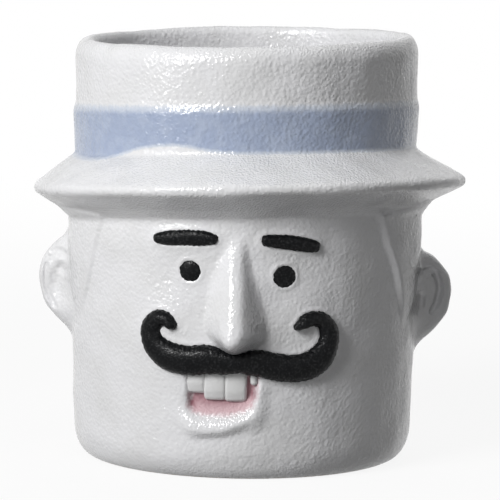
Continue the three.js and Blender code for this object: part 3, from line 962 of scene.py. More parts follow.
@dataclass(frozen=True)
class Roll:
    """A soft roll of clay along a line, or a crease where its height is below nothing.

    Attributes:
        line: Its middle, of arc and height.
        half_width: Half its width.
        proud: How far it stands out.
        left: Arcs between which it starts on the left.
        right: Arcs between which it ends on the right, the outer one first.
    """

    line: Rows
    half_width: float
    proud: float
    left: Pair
    right: Pair

    def height(self, arc: Array, z: Array) -> Array:
        """Its height over the bare wall."""
        stroke = Stroke([(*point, self.half_width) for point in self.line])
        fullness = smooth_step(*self.left, arc) * smooth_step(*self.right, arc)
        return self.proud * fullness * stroke.roll(arc, z) ** 3


@dataclass
class FaceRelief:
    """Everything modelled in the wall of the face, as a height over arc and height above the table.

    Attributes:
        nose: Rows of height, how far the ridge stands out, and the arcs of its left foot, of the ridge's two
            edges and of its right foot.
        nose_softness: Radius over which the ridge and the foot of the nose are rounded.
        lip: The lower lip.
        chin: The crease under it.
        bulges: Middle, half sizes and height of the swellings over the cheeks and the brows.
        nose_space: Lowest and highest arc and height that the nose is worked out for.
        mouth_edge: Lower edge of the mouth.
        mouth_sides: Arcs of its two sides.
        mouth_top: Its upper edge, under the moustache.
        pink_top: Where the pink glaze starts at the top, the corner left of it being white.
        pink_left: Where it starts on the left.
        mouth_depth: How deep it is.
        mouth_slope: Length of the slope from the lip down to that depth.
        mouth_lead: How far below the edge of the pink glaze that slope starts.
        left_wall: Distances right of its left side at which the wall there starts and is down.
        right_wall: The same at its right side.
        depth_shade_share: Strength of the painted shade on the pink glaze in its depth, beside the pockets.
        pockets: Middle, radius and depth of the pits in its corners, which are also painted with shade.
        sideburns: How far the flat locks of hair before the ears stand out, and their outlines.
        sideburn_edge: Distances inside their outlines between which they rise.
        sideburn_foot: Heights between which their lower ends rise from the wall.
        sideburn_back: Arcs to each side between which their back ends do, the outer one first.
        socket: Radius and depth of the eyes' sockets.
        socket_wall: Distances outside that radius at which their walls start and are down.
        rim: How far the glaze climbs at the black strokes' edges.
        rim_place: How far outside an edge it is highest, and half the width of that roll.
        socket_rim: The same round the sockets.
        softness: Radius over which the glaze rounds all of it.
    """

    nose: Rows = (
        (72.8, 0.0, -4.2, -3.0, -0.2, 0.3),
        (69.0, 1.2, -5.4, -3.4, 0.1, 0.6),
        (66.0, 2.3, -6.9, -3.7, 0.0, 0.9),
        (63.0, 3.4, -8.3, -3.8, -0.2, 1.7),
        (57.3, 5.7, -9.9, -3.8, -0.3, 3.4),
        (51.0, 8.2, -10.6, -3.9, -0.4, 5.4),
        (47.8, 9.5, -11.2, -3.9, -0.4, 6.4),
        (45.0, 10.5, -10.9, -4.0, -0.5, 7.1),
        (43.4, 11.0, -9.9, -4.0, -1.0, 6.8),
        (41.5, 10.5, -8.0, -4.0, -1.4, 5.2),
        (40.0, 8.6, -6.3, -3.8, -2.0, 2.2),
        (38.9, 4.4, -4.6, -3.5, -2.3, 0.2),
        (38.0, 0.0, -3.5, -3.2, -2.5, -1.5),
    )
    nose_softness: float = 0.85
    nose_space: tuple[Pair, Pair] = ((-20.0, 30.0), (16.0, 80.0))
    lip: Roll = Roll(
        (
            (-20.0, 18.6), (-15.6, 15.9), (-11.5, 14.9), (-4.9, 15.1),
            (0.6, 16.6), (4.4, 19.2), (6.2, 22.6), (6.6, 27.0),
        ),
        half_width=4.4, proud=1.5, left=(-21.0, -14.0), right=(9.5, 2.0),
    )
    chin: Roll = Roll(
        ((-21.0, 14.2), (-16.5, 12.4), (-11.7, 11.6), (-5.0, 12.3), (0.0, 14.2), (6.0, 17.0)),
        half_width=3.2, proud=-1.3, left=(-22.0, -7.0), right=(6.0, 0.0),
    )
    bulges: Rows = (
        (-25.0, 46.0, 10.0, 12.0, 1.1),
        (23.0, 46.0, 9.0, 12.0, 0.9),
        (-20.0, 70.5, 13.0, 4.5, 0.6),
        (14.0, 69.5, 11.0, 4.5, 0.4),
    )
    mouth_edge: Rows = (
        (-17.1, 21.7), (-15.3, 20.3), (-11.8, 19.4), (-5.1, 19.4), (-0.1, 20.5), (2.9, 22.1), (4.3, 25.1),
    )
    mouth_sides: Pair = (-17.0, 4.7)
    mouth_top: float = 32.0
    pink_top: Pair = (-13.0, 30.5)
    pink_left: Pair = (-16.5, 25.5)
    mouth_depth: float = 2.3
    mouth_slope: float = 7.5
    mouth_lead: float = 2.2
    left_wall: Pair = (-0.2, 0.9)
    right_wall: Pair = (0.8, -1.8)
    depth_shade_share: float = 0.7
    pockets: Sequence[tuple[float, float, float, float]] = ((-15.9, 23.0, 2.1, 0.7), (2.7, 26.6, 1.5, 0.0))
    sideburns: Sequence[tuple[float, Rows]] = (
        (0.8, (
            (-47.1, 76), (-49.7, 69.9), (-52.7, 62.9), (-57, 54), (-61.2, 47.1), (-64.3, 41.6), (-67.1, 41.6),
            (-77.2, 63), (-77.2, 78),
        )),
        (1.8, (
            (43.1, 78), (47.4, 68.5), (51.6, 61.5), (54.2, 55.2), (56.9, 49.8), (60.1, 43), (62.9, 43),
            (77.2, 64), (77.2, 80),
        )),
    )
    sideburn_edge: Pair = (-0.5, 0.4)
    sideburn_foot: Pair = (42.0, 54.0)
    sideburn_back: Pair = (79.0, 67.0)
    socket: Pair = (2.9, 0.5)
    socket_wall: Pair = (0.35, -0.55)
    rim: float = 0.35
    rim_place: Pair = (0.35, 0.55)
    socket_rim: Pair = (0.7, 0.6)
    softness: float = 0.42
    nose_form: Table = field(init=False)
    heights: Table = field(init=False)
    stretch: Table = field(init=False)
    mouth: Table = field(init=False)
    pool: Table = field(init=False)

    def __post_init__(self) -> None:
        """Works out the tables."""
        low, high, pitch = (-84, 0), (84, 84), 0.25
        self.nose_form = Table.of(*self.nose_space, pitch, self.nose_height).softened(self.nose_softness)
        self.heights = Table.of(low, high, pitch, self.height).softened(self.softness)
        self.stretch = self.heights.steepness()
        self.mouth = Table.of(low, high, pitch, self.mouth_inset)
        self.pool = Table.of(low, high, pitch, self.painted_mouth_shade).softened(self.softness)

    def mouth_inset(self, arc: Array, z: Array) -> Array:
        """Distance inside the edge of the mouth's pink glaze, negative outside it."""
        top = ((self.mouth_sides[1], self.mouth_top), self.pink_top, self.pink_left)
        return -outline_distance(arc, z, np.vstack([self.mouth_edge, top]))

    def mouth_share(self, arc: Array, z: Array) -> Array:
        """How far the mouth is down at a place, from 0 to 1."""
        low_edge = curve_through(self.mouth_edge)
        above = z - np.interp(arc, low_edge[:, 0], low_edge[:, 1]) + self.mouth_lead
        share = smooth_step(0, self.mouth_slope, above) * (z < self.mouth_top)
        for side, wall in zip(self.mouth_sides, (self.left_wall, self.right_wall)):
            share = share * smooth_step(*wall, arc - side)
        return share

    def painted_mouth_shade(self, arc: Array, z: Array) -> Array:
        """Share of painted shade on the pink glaze, from 0 to 1: in the mouth's depth and in its corners."""
        total = smooth_step(0.5, 1.0, self.mouth_share(arc, z)) * self.depth_shade_share
        for middle, height, radius, _ in self.pockets:
            total = np.maximum(total, soft_peak((arc - middle) / radius, (z - height) / radius))
        return total

    def nose_height(self, arc: Array, z: Array) -> Array:
        """Height of the nose: a flat ridge, a long left flank and a steep right one, bent in at the tip."""
        rows = curve_through(self.nose[::-1], 6)
        proud, left_foot, left, right, right_foot = (
            np.interp(z, rows[:, 0], rows[:, column]) for column in range(1, 6)
        )
        down = np.maximum((left - arc) / (left - left_foot), (arc - right) / (right_foot - right))
        return proud * (1 - np.clip(down, 0, 1)) * ((z > rows[0, 0]) & (z < rows[-1, 0]))

    def height(self, arc: Array, z: Array) -> Array:
        """Height of the relief over the bare wall."""
        total = np.zeros(arc.shape)
        ends = smooth_step(*self.sideburn_foot, z) * smooth_step(*self.sideburn_back, np.abs(arc))
        for proud, outline in self.sideburns:
            inset = -outline_distance(arc, z, np.array(outline))
            total += proud * ends * smooth_step(*self.sideburn_edge, inset)
        for roll in (self.lip, self.chin):
            total += roll.height(arc, z)
        for middle, height, half_arc, half_height, proud in self.bulges:
            total += proud * soft_peak((arc - middle) / half_arc, (z - height) / half_height)
        (left, low), (right, high) = self.nose_space
        near_nose = (arc > left) & (arc < right) & (z > low) & (z < high)
        total = np.maximum(total, np.where(near_nose, self.nose_form.read(arc, z), 0))
        place, spread = self.rim_place
        for line in (LEFT_BROW, RIGHT_BROW, MOUSTACHE):
            total += self.rim * soft_peak((Stroke(line).outside(arc, z) - place) / spread)
        radius, depth = self.socket
        place, spread = self.socket_rim
        for start, end in (LEFT_EYE, RIGHT_EYE):
            away = np.hypot(arc - (start[0] + end[0]) / 2, z - start[1]) - radius
            total += self.rim * soft_peak((away - place) / spread)
            total -= depth * smooth_step(*self.socket_wall, away)
        share = self.mouth_share(arc, z)
        total = total * (1 - share) - self.mouth_depth * share
        for middle, height, radius, depth in self.pockets:
            total -= depth * soft_peak((arc - middle) / radius, (z - height) / radius)
        return total


@dataclass
class Ear:
    """An ear: a thick rounded leaf with a rolled rim, a groove within it and a hollow next to the head.

    Attributes:
        side: -1 on the left and 1 on the right.
        outline: Its edge, as distance from the head's axis and height.
        grooves: Lines pressed into its front, with their half widths.
        hollows: Middle, half sizes and depth of the hollows next to the head.
        groove_depth: How deep the grooves are.
        thickness: Of the leaf, front to back.
        root: How far further forward its front comes where it meets the head.
        root_reach: Distances from the head's axis between which it does so, the outer one first.
        rounding: Of its edge.
    """

    side: int
    outline: Rows
    grooves: Sequence[Rows]
    hollows: Sequence[tuple[float, float, float, float, float]]
    groove_depth: float = 1.3
    thickness: float = 9.4
    root: float = 7.5
    root_reach: Pair = (59.5, 50.0)
    rounding: float = 3.0
    edge: Table = field(init=False)
    front: Table = field(init=False)

    def __post_init__(self) -> None:
        """Works out the tables of its edge and of its front."""
        root = np.array([(40.0, self.outline[-1][1]), (40.0, self.outline[0][1])])
        edge = np.vstack([curve_through(self.outline, 4), root])
        low, high, pitch = (38, 24), (72, 76), 0.25
        self.edge = Table.of(low, high, pitch, lambda u, v: outline_distance(u, v, edge)).softened(0.4)
        self.front = Table.of(low, high, pitch, self.carved).softened(0.35)

    def fullness(self, z: Array) -> Array:
        """Share of the leaf's thickness at a height, less at its top and its lobe."""
        return smooth_step(30, 47, z) * smooth_step(70, 56, z)

    def carved(self, out: Array, z: Array) -> Array:
        """How far the front lies before the leaf's middle."""
        full = self.fullness(z)
        total = self.thickness * (0.3 + 0.2 * full) + full * self.root * smooth_step(*self.root_reach, out)
        for groove in self.grooves:
            total -= self.groove_depth * Stroke(groove).roll(out, z, 1.2)
        for middle_out, middle_z, half_out, half_z, depth in self.hollows:
            away = np.hypot((out - middle_out) / half_out, (z - middle_z) / half_z)
            total -= depth * smooth_step(1.1, 0.2, away)
        return total

    def distance(self, x: Array, y: Array, z: Array) -> Array:
        """Distance to the leaf."""
        out = x * self.side
        across = self.edge.read(out, z) + self.rounding
        back = self.thickness * (0.28 + 0.22 * self.fullness(z))
        along = np.maximum(-y - self.front.read(out, z), y - back) + self.rounding
        round_part = np.hypot(np.maximum(across, 0), np.maximum(along, 0))
        return round_part + np.minimum(np.maximum(across, along), 0) - self.rounding


LEFT_EAR = Ear(
    side=-1,
    outline=(
        (51.5, 68.2), (56.3, 65.1), (59.7, 61.7), (61.6, 58.4), (62.4, 54.6), (62.3, 51.8),
        (61.5, 48.1), (60.3, 45.1), (57.5, 41.7), (54.4, 38.9), (52, 37.1), (49, 35.4),
    ),
    grooves=(
        ((58.7, 60.8, 0.8), (56.6, 61.5, 1.2), (53.8, 60.4, 1.2), (51.9, 58.6, 1.1), (50.9, 56.4, 0.8)),
        ((60.3, 57.6, 0.5), (60.6, 53, 0.7), (59.6, 48.6, 0.7), (57.6, 45, 0.6)),
    ),
    hollows=((54.4, 57.0, 3.2, 3.0, 1.6), (55.2, 51.5, 5.0, 8.0, 2.0)),
)
RIGHT_EAR = Ear(
    side=1,
    outline=(
        (50.5, 65.2), (53.7, 63.2), (57, 61.9), (58.9, 60.4), (60.8, 58.2), (62.7, 55.5), (63.4, 51.5),
        (62.9, 47.8), (62.1, 44.1), (59.4, 40), (57.3, 37.8), (54.3, 35.3), (51.5, 33),
    ),
    grooves=(
        ((51.6, 52.2, 0.9), (53.2, 54.9, 1.2), (55.2, 57, 1.2), (57.2, 57.3, 0.9), (59.1, 55.2, 0.9),
         (59.8, 51.5, 1.0), (59, 47.8, 0.9), (57.2, 44.7, 0.6)),
        ((51.8, 63, 0.6), (51.2, 60, 0.9), (50.8, 56.5, 0.9)),
    ),
    hollows=((52.9, 48.6, 3.4, 5.6, 3.6),),
)


@dataclass
class Clay:
    """All the white clay of the pot, as one signed distance field.

    Attributes:
        pot: The turned pot.
        relief: What is modelled in its face.
        ears: Its ears.
        ear_blend: Width of the fillet between an ear and the wall.
        swells: Waves of the hand-made surface, from broad to fine.
        outer_radii: Radii inside the wall between which the relief starts.
        brim_levels: Levels between which the relief ends under the brim.
        brim_radii: Radii between which it does so.
        face_space: Level, place along y and radius within which the relief is looked up.
        ear_space: Least distance aside, largest distance along y, and heights within which the ears are.
        foot_lift: How far the foot's face stays above the table.
    """

    pot: TurnedPot = field(default_factory=TurnedPot)
    relief: FaceRelief = field(default_factory=FaceRelief)
    ears: tuple[Ear, Ear] = (LEFT_EAR, RIGHT_EAR)
    ear_blend: float = 3.0
    swells: tuple[Waves, ...] = (Waves(34, 0.14, 3), Waves(13, 0.07, 5), Waves(5, 0.014, 8, 14))
    outer_radii: Pair = (45.0, 47.5)
    brim_levels: Pair = (70.0, 74.0)
    brim_radii: Pair = (55.5, 58.5)
    face_space: tuple[float, float, float] = (80.0, 12.0, 44.0)
    ear_space: tuple[float, float, float, float] = (44.0, 24.0, 26.0, 76.0)
    foot_lift: float = 0.02

    def swell(self, points: Array) -> Array:
        """How far the hand-made surface stands out, nothing at the foot."""
        total = sum(waves.at(points) for waves in self.swells)
        return total * smooth_step(0.5, 7, points[:, 2])

    def around(self, points: Array) -> tuple[Array, Array, Array, Array, Array]:
        """Places of points on the head: x and y from its axis, radius, arc and level."""
        x, y, z = points[:, 0] - self.pot.axis_x, points[:, 1], points[:, 2]
        arc = np.arctan2(x, -y) * FACE_RADIUS
        return x, y, np.hypot(x, y), arc, self.pot.level(x, y, z)

    def on_face(self, arc: Array) -> tuple[Array, Array]:
        """x and y of the face at arcs."""
        angle = arc / FACE_RADIUS
        return self.pot.axis_x + FACE_RADIUS * np.sin(angle), -FACE_RADIUS * np.cos(angle)

    def on_wall(self, points: Array) -> tuple[Array, Array, Array]:
        """Arc and height of points, and how far they lie behind the bare wall."""
        x, y, z = points[:, 0] - self.pot.axis_x, points[:, 1], points[:, 2]
        angle = np.arctan2(x, -y)
        return angle * FACE_RADIUS, z, self.pot.wall(z, angle) - np.hypot(x, y)

    def distance(self, points: Array) -> Array:
        """Distance of points to the clay, negative inside it."""
        x, y, radius, arc, level = self.around(points)
        z = points[:, 2]
        value = self.pot.distance(x, y, level, radius) - self.swell(points)
        top, behind, inside = self.face_space
        face = (level < top) & (y < behind) & (radius > inside)
        outer = smooth_step(*self.outer_radii, radius[face])
        brim = smooth_step(*self.brim_levels, level[face]) * smooth_step(*self.brim_radii, radius[face])
        height = self.relief.heights.read(arc[face], z[face]) * outer * (1 - brim)
        stretch = 1 + (self.relief.stretch.read(arc[face], z[face]) - 1) * outer
        value[face] = (value[face] - height) / stretch
        aside, along, low, high = self.ear_space
        for ear in self.ears:
            near = (x * ear.side > aside) & (np.abs(y) < along) & (z > low) & (z < high)
            leaf = ear.distance(x[near], y[near], z[near])
            value[near] = join(value[near], leaf - self.swell(points[near]), self.ear_blend)
        return np.maximum(value, self.foot_lift - z)


class Region(Enum):
    """A region of the clay, and the name of its piece."""

    FACE = "face"
    BACK = "back_of_head"
    LEFT_EAR = "left_ear_clay"
    RIGHT_EAR = "right_ear_clay"
    MOUTH = "mouth_clay"
    BRIM = "brim"
    BAND = "band"
    CROWN = "crown"
    INSIDE = "inside"
    FOOT = "foot"


@dataclass
class GlazedPot:
    """The fired pot: its clay, meshed and parted into regions, with the glaze and its stains.

    Attributes:
        clay: The clay.
        glaze: Its finish.
        pitch: Side of a mesh cell in millimetres.
        finer: How often each region's faces are split again.
        roles: What each region is in the part, where it isn't plain white glaze.
        stain_edge: The blue stain's lower edge, as degrees from the front and millimetres above the crease.
    """

    clay: Clay = field(default_factory=Clay)
    glaze: StonewareGlaze = StonewareGlaze()
    pitch: float = 1.1
    finer: Mapping[Region, int] = field(
        default_factory=lambda: {
            Region.FACE: 1, Region.MOUTH: 2, Region.LEFT_EAR: 1, Region.RIGHT_EAR: 1, Region.BAND: 1,
        }
    )
    roles: Mapping[Region, Role] = field(
        default_factory=lambda: {
            Region.FACE: Role(
                "white_glaze", ("pot_body", "nose", "lower_lip", "left_sideburn", "right_sideburn")
            ),
            Region.LEFT_EAR: Role("white_glaze", ("left_ear",)),
            Region.RIGHT_EAR: Role("white_glaze", ("right_ear",)),
            Region.MOUTH: Role("pink_glaze", ("mouth_lining",)),
            Region.BRIM: Role("white_glaze", ("hat_brim",)),
            Region.BAND: Role("blue_glaze", ("hat_band",)),
        }
    )
    stain_edge: Rows = (
        (-80, -0.8), (-62, -1.8), (-52, -1.5), (-45, -0.2), (-37, 1.5), (-27, 2.4), (-19, 2.0), (-11, 0.5),
        (1, -0.2), (20, -0.3),
    )

    def build(self) -> list[Object]:
        """Meshes the clay, parts it and makes the pieces.

        Returns:
            The pieces.
        """
        low, high = (-68, -68, -2), (68, 68, 131)
        pitch = self.pitch * 1
        whole = meshed(self.clay.distance, low, high, pitch)
        whole.points, _ = laid_on(self.clay.distance, whole.points, 0.3)
        regions = self.regions(whole.points[whole.quads].mean(axis=1))
        material = self.glaze.build()
        pieces = []
        for region in Region:
            shell = whole.part(regions == region.value)
            for _ in range(self.finer.get(region, 0)):
                shell = shell.divided()
            shell.points, normals = laid_on(self.clay.distance, shell.points, 0.15)
            role = self.roles.get(region, Role("white_glaze"))
            marks = self.marks(shell.points)
            pieces.append(make_piece(region.value, shell, normals, material, role, marks))
        return pieces

    def regions(self, middles: Array) -> Array:
        """Name of the region that each place of the clay is in."""
        x, y, radius, arc, level = self.clay.around(middles)
        z = middles[:, 2]
        pot = self.clay.pot
        # everything inside the wall, and a little further out at the rim and the foot
        inner = (radius < 48) & ((radius < 47.2) | (z > 124) | (z < 2))
        wall = pot.wall(np.minimum(z, pot.hat_line), arc / FACE_RADIUS)
        # the wall, up to the crease under the brim
        below = (level < pot.hat_line - 1.2) | (radius < 53.2) & (level < pot.hat_line + 2)
        # the pink glaze with a border of white
        mouth = (self.clay.relief.mouth.read(arc, z) > -0.6) & (np.abs(arc) < 20) & (z < 33)
        aside = self.clay.ear_space[0]
        proud = below & (radius > wall + 1.5)
        choices = {
            Region.FOOT: inner & (z < 5),
            Region.INSIDE: inner,
            Region.MOUTH: mouth,
            Region.LEFT_EAR: proud & (x < -aside),
            Region.RIGHT_EAR: proud & (x > aside),
            Region.FACE: below & (y < 0),
            Region.BACK: below,
            Region.BRIM: level < pot.crease - BORDER,
            Region.BAND: level < pot.band_top + BORDER,
        }
        names = [region.value for region in choices]
        return np.select(list(choices.values()), names, Region.CROWN.value)

    def marks(self, points: Array) -> dict[str, Array]:
        """Numbers that the glaze reads: how far a place is inside the stain, the mouth and the bare foot."""
        _, _, radius, arc, level = self.clay.around(points)
        pot, relief, z = self.clay.pot, self.clay.relief, points[:, 2]
        edge = curve_through(self.stain_edge)
        above = level - pot.crease - np.interp(np.degrees(arc / FACE_RADIUS), edge[:, 0], edge[:, 1])
        # the slow ramp below the band's top spreads the paler blue over its ledge, painting the light it
        # catches
        stain = np.minimum(above * 1.1, (pot.band_top - 0.3 - level) * 0.5)
        outer = radius > INNER_RADIUS
        foot = np.where((radius < 45) & (z < 6.5), 2, 0.7 - z)
        return {
            "stain": np.clip(np.where(radius > 49, stain, UNMARKED), UNMARKED, 5),
            "blush": np.where(outer, np.clip(relief.mouth.read(arc, z) * 0.5 + 0.1, UNMARKED, 5), UNMARKED),
            # painted shade: darker pink deep in the mouth under the teeth and in its corners
            "pool": np.where(outer, relief.pool.read(arc, z), 0),
            "foot": np.clip(foot, UNMARKED, 2),
        }


def modelled(
    distance: Distance, low: Sequence[float], high: Sequence[float], pitch: float
) -> tuple[Shell, Array]:
    """Meshes a small body and lays the mesh on it.

    Args:
        distance: Its field.
        low: Lowest corner of the space round it.
        high: Highest corner of that space.
        pitch: Side of a mesh cell.

    Returns:
        Its surface, and the unit normals there.
    """
    shell = meshed(distance, low, high, pitch * (1))
    shell.points, normals = laid_on(distance, shell.points, 0.1)
    return shell, normals


@dataclass
class BlackFeature:
    """Brows, eyes or moustache: black clay slip trailed on the wall, with a ragged edge.

    Attributes:
        name: Name of the piece and of the node that it stands for.
        line: Its line, of arc, height and half width.
        proud: How far it stands out from the wall.
        fullness: Power of its section, 2 being a half ellipse.
        ragged: Height of the waves along its edge.
        seed: Seed of those waves.
        scallops: How many even notches run round its edge.
        sunk: How deep in the wall its edge lies.
        scallop_depth: How deep those notches are.
        pitch: Side of a mesh cell.
    """

    name: str
    line: Rows
    proud: float
    fullness: float = 2.3
    ragged: float = 0.09
    seed: int = 1
    scallops: int = 0
    sunk: float = 0.0
    scallop_depth: float = 0.16
    pitch: float = 0.38
    stroke: Stroke = field(init=False)
    waves: Waves = field(init=False)

    def __post_init__(self) -> None:
        """Works out the line's tables and the waves."""
        self.stroke = Stroke(self.line, margin=3)
        self.waves = Waves(1.3, self.ragged, self.seed, 14)

    def distance(self, clay: Clay, points: Array) -> Array:
        """Distance of points to the body."""
        arc, z, depth = clay.on_wall(points)
        above = self.sunk - depth - clay.swell(points)
        across, half = self.stroke.across.read(arc, z), self.stroke.width.read(arc, z)
        half = half + self.waves.at(points)
        if self.scallops:
            turn = np.arctan2(z - self.line[0][1], arc - self.line[0][0])
            half = half + self.scallop_depth * (np.abs(np.cos(turn * self.scallops / 2)) - 0.5)
        power = self.fullness
        share = ((across / half) ** power + (np.maximum(above, 0) / self.proud) ** power) ** (1 / power)
        return np.maximum((share - 1) * np.minimum(half, self.proud), -above - 1.2)

    def build(self, clay: Clay, material: Material) -> Object:
        """Makes the piece on the wall of the clay."""
        samples = curve_through(self.line, 4)
        reach = samples[:, 2].max() + 1.5
        x, y = clay.on_face(samples[:, 0])
        low = (x.min() - reach - 1, y.min() - self.proud - 2, samples[:, 1].min() - reach)
        high = (x.max() + reach + 1, y.max() + 4, samples[:, 1].max() + reach)
        shell, normals = modelled(partial(self.distance, clay), low, high, self.pitch)
        return make_piece(self.name, shell, normals, material, Role("black_glaze", (self.name,)))


@dataclass
class Tooth:
    """A tooth that hangs from the clay over the mouth.

    Attributes:
        name: Name of the piece and of the node that it stands for.
        left: Arc of its left side.
        right: Arc of its right side.
        bottom: Height of its lower edge.
        top: Height of its upper end, under the moustache.
        front: How far its front lies behind the bare wall.
        back: How far its back does.
        rounding: Of its edges.
        bulge: How far its middle stands before its sides.
        curl: How far its lower edge turns in.
        curl_height: Height over which it does so.
        pitch: Side of a mesh cell.
    """

    name: str
    left: float
    right: float
    bottom: float
    top: float = 33.5
    front: float = 0.6
    back: float = 4.4
    rounding: float = 1.2
    bulge: float = 0.35
    curl: float = 0.7
    curl_height: float = 3.5
    pitch: float = 0.3

    def distance(self, clay: Clay, points: Array) -> Array:
        """Distance of points to the tooth."""
        arc, z, depth = clay.on_wall(points)
        middle, half = (self.left + self.right) / 2, (self.right - self.left) / 2
        aside = (arc - middle) / half
        sides = np.abs(arc - middle) - half
        ends = np.maximum(self.bottom - z, z - self.top)
        turned_in = self.curl * smooth_step(self.bottom + self.curl_height, self.bottom, z)
        faces = np.maximum(self.front + turned_in - self.bulge * (1 - aside**2) - depth, depth - self.back)
        gaps = np.stack([sides, ends, faces]) + self.rounding
        outer = np.sqrt((np.maximum(gaps, 0) ** 2).sum(axis=0))
        return outer + np.minimum(gaps.max(axis=0), 0) - self.rounding

    def build(self, clay: Clay, material: Material) -> Object:
        """Makes the piece in the mouth of the clay."""
        x, y = clay.on_face(np.array([self.left, self.right]))
        low = (x[0] - 1.5, -FACE_RADIUS - 1, self.bottom - 1)
        high = (x[1] + 1.5, y[0] + 5, self.top + 1)
        shell, normals = modelled(partial(self.distance, clay), low, high, self.pitch)
        marks = {name: np.full(len(shell.points), UNMARKED) for name in CLAY_MARKS}
        marks["pool"] = np.zeros(len(shell.points))
        return make_piece(self.name, shell, normals, material, Role("white_glaze", (self.name,)), marks)


@dataclass
class DrainPlug:
    """The rubber plug in the drain hole: a shank with a flange and a knob to pull.

    Attributes:
        shank: Radius of the shank.
        flange: Radius of the flange.
        knob: Radius of the knob.
        shank_middle: Height of a point between the shank's ends.
        shank_top: Height of the shank's upper end, measured down from the top of the knob.
        flange_top: Height of the flange's upper face, measured in the same way.
        turns: Faces round it.
    """

    shank: float = 5.7
    flange: float = 9.0
    knob: float = 3.2
    shank_middle: float = 5.0
    shank_top: float = 4.0
    flange_top: float = 2.4
    turns: int = 72

    def outline(self, base: float, top: float) -> Array:
        """Its section as radii and heights, from the middle of its base to the middle of its top."""
        shank_round, *rounds = (
            arc_points((radius, height), (rounding, rounding), start, end, steps)
            for radius, height, rounding, start, end, steps in (
                (self.shank - 1, base + 0.8, 0.8, -80, -10, 3),
                (self.flange - 0.5, top - self.shank_top + 0.5, 0.5, -90, 0, 4),
                (self.flange - 0.6, top - self.flange_top - 0.6, 0.6, 0, 90, 4),
                (self.knob + 0.6, top - self.flange_top + 0.6, 0.6, 270, 180, 4),
                (self.knob - 0.8, top - 0.8, 0.8, 0, 90, 5),
            )
        )
        return np.vstack([
            [(0.01, base), (self.shank - 1, base)],
            shank_round,
            [(self.shank, self.shank_middle), (self.shank, top - self.shank_top)],
            *rounds,
            [(0.01, top)],
        ])

    def build(self) -> Object:
        """Turns the plug on the part's own axis.

        Returns:
            The piece.
        """
        low, high = (np.array(corner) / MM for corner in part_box("drain_plug"))
        outline = self.outline(low[2], high[2])
        slope = np.gradient(outline, axis=0)
        outward = np.column_stack([slope[:, 1], -slope[:, 0]])
        outward /= np.linalg.norm(outward, axis=1, keepdims=True)
        middle = np.append((low[:2] + high[:2]) / 2, 0)
        row, turn = np.meshgrid(np.arange(len(outline) - 1), np.arange(self.turns), indexing="ij")
        here, after = row * self.turns + turn, row * self.turns + (turn + 1) % self.turns
        quads = np.stack([here, after, after + self.turns, here + self.turns], axis=-1).reshape(-1, 4)
        shell = Shell(self.turned(outline) + middle, quads)
        role = Role("plug_rubber", ("drain_plug",), "drain_plug")
        return make_piece("plug", shell, self.turned(outward), PLUG_RUBBER.build(), role)

    def turned(self, section: Array) -> Array:
        """Rows of radius and height, turned round the axis to places in space."""
        angles = np.linspace(0, 2 * math.pi, self.turns, endpoint=False)
        heights = np.repeat(section[:, 1:], self.turns, axis=1)
        sides = [np.outer(section[:, 0], side) for side in (np.cos(angles), np.sin(angles))]
        return np.stack([*sides, heights], axis=2).reshape(-1, 3)


# The studio


@dataclass(frozen=True)
class Lamp:
    """A soft box that faces the pot.

    Attributes:
        name: Its name.
        azimuth: Degrees round the pot, 0 in front and positive to the right.
        elevation: Degrees above the floor.
        distance: From the pot, in metres.
        size: Width and height in metres.
        power: In watts.
        mirrored: Whether the glaze mirrors it.
    """

    name: str
    azimuth: float
    elevation: float
    distance: float
    size: Pair
    power: float
    mirrored: bool = True

    def build(self, target: Vector) -> Object:
        """Hangs the lamp."""
        turn, rise = math.radians(self.azimuth), math.radians(self.elevation)
        way = Vector((math.sin(turn) * math.cos(rise), -math.cos(turn) * math.cos(rise), math.sin(rise)))
        light = bpy.data.lights.new(self.name, "AREA")
        light.shape = "RECTANGLE"
        light.size, light.size_y = self.size
        light.energy = self.power
        lamp = bpy.data.objects.new(self.name, light)
        lamp.location = target + way * self.distance
        lamp.rotation_euler = way.to_track_quat("Z", "Y").to_euler()
        lamp.visible_glossy = self.mirrored
        bpy.context.scene.collection.objects.link(lamp)
        return lamp


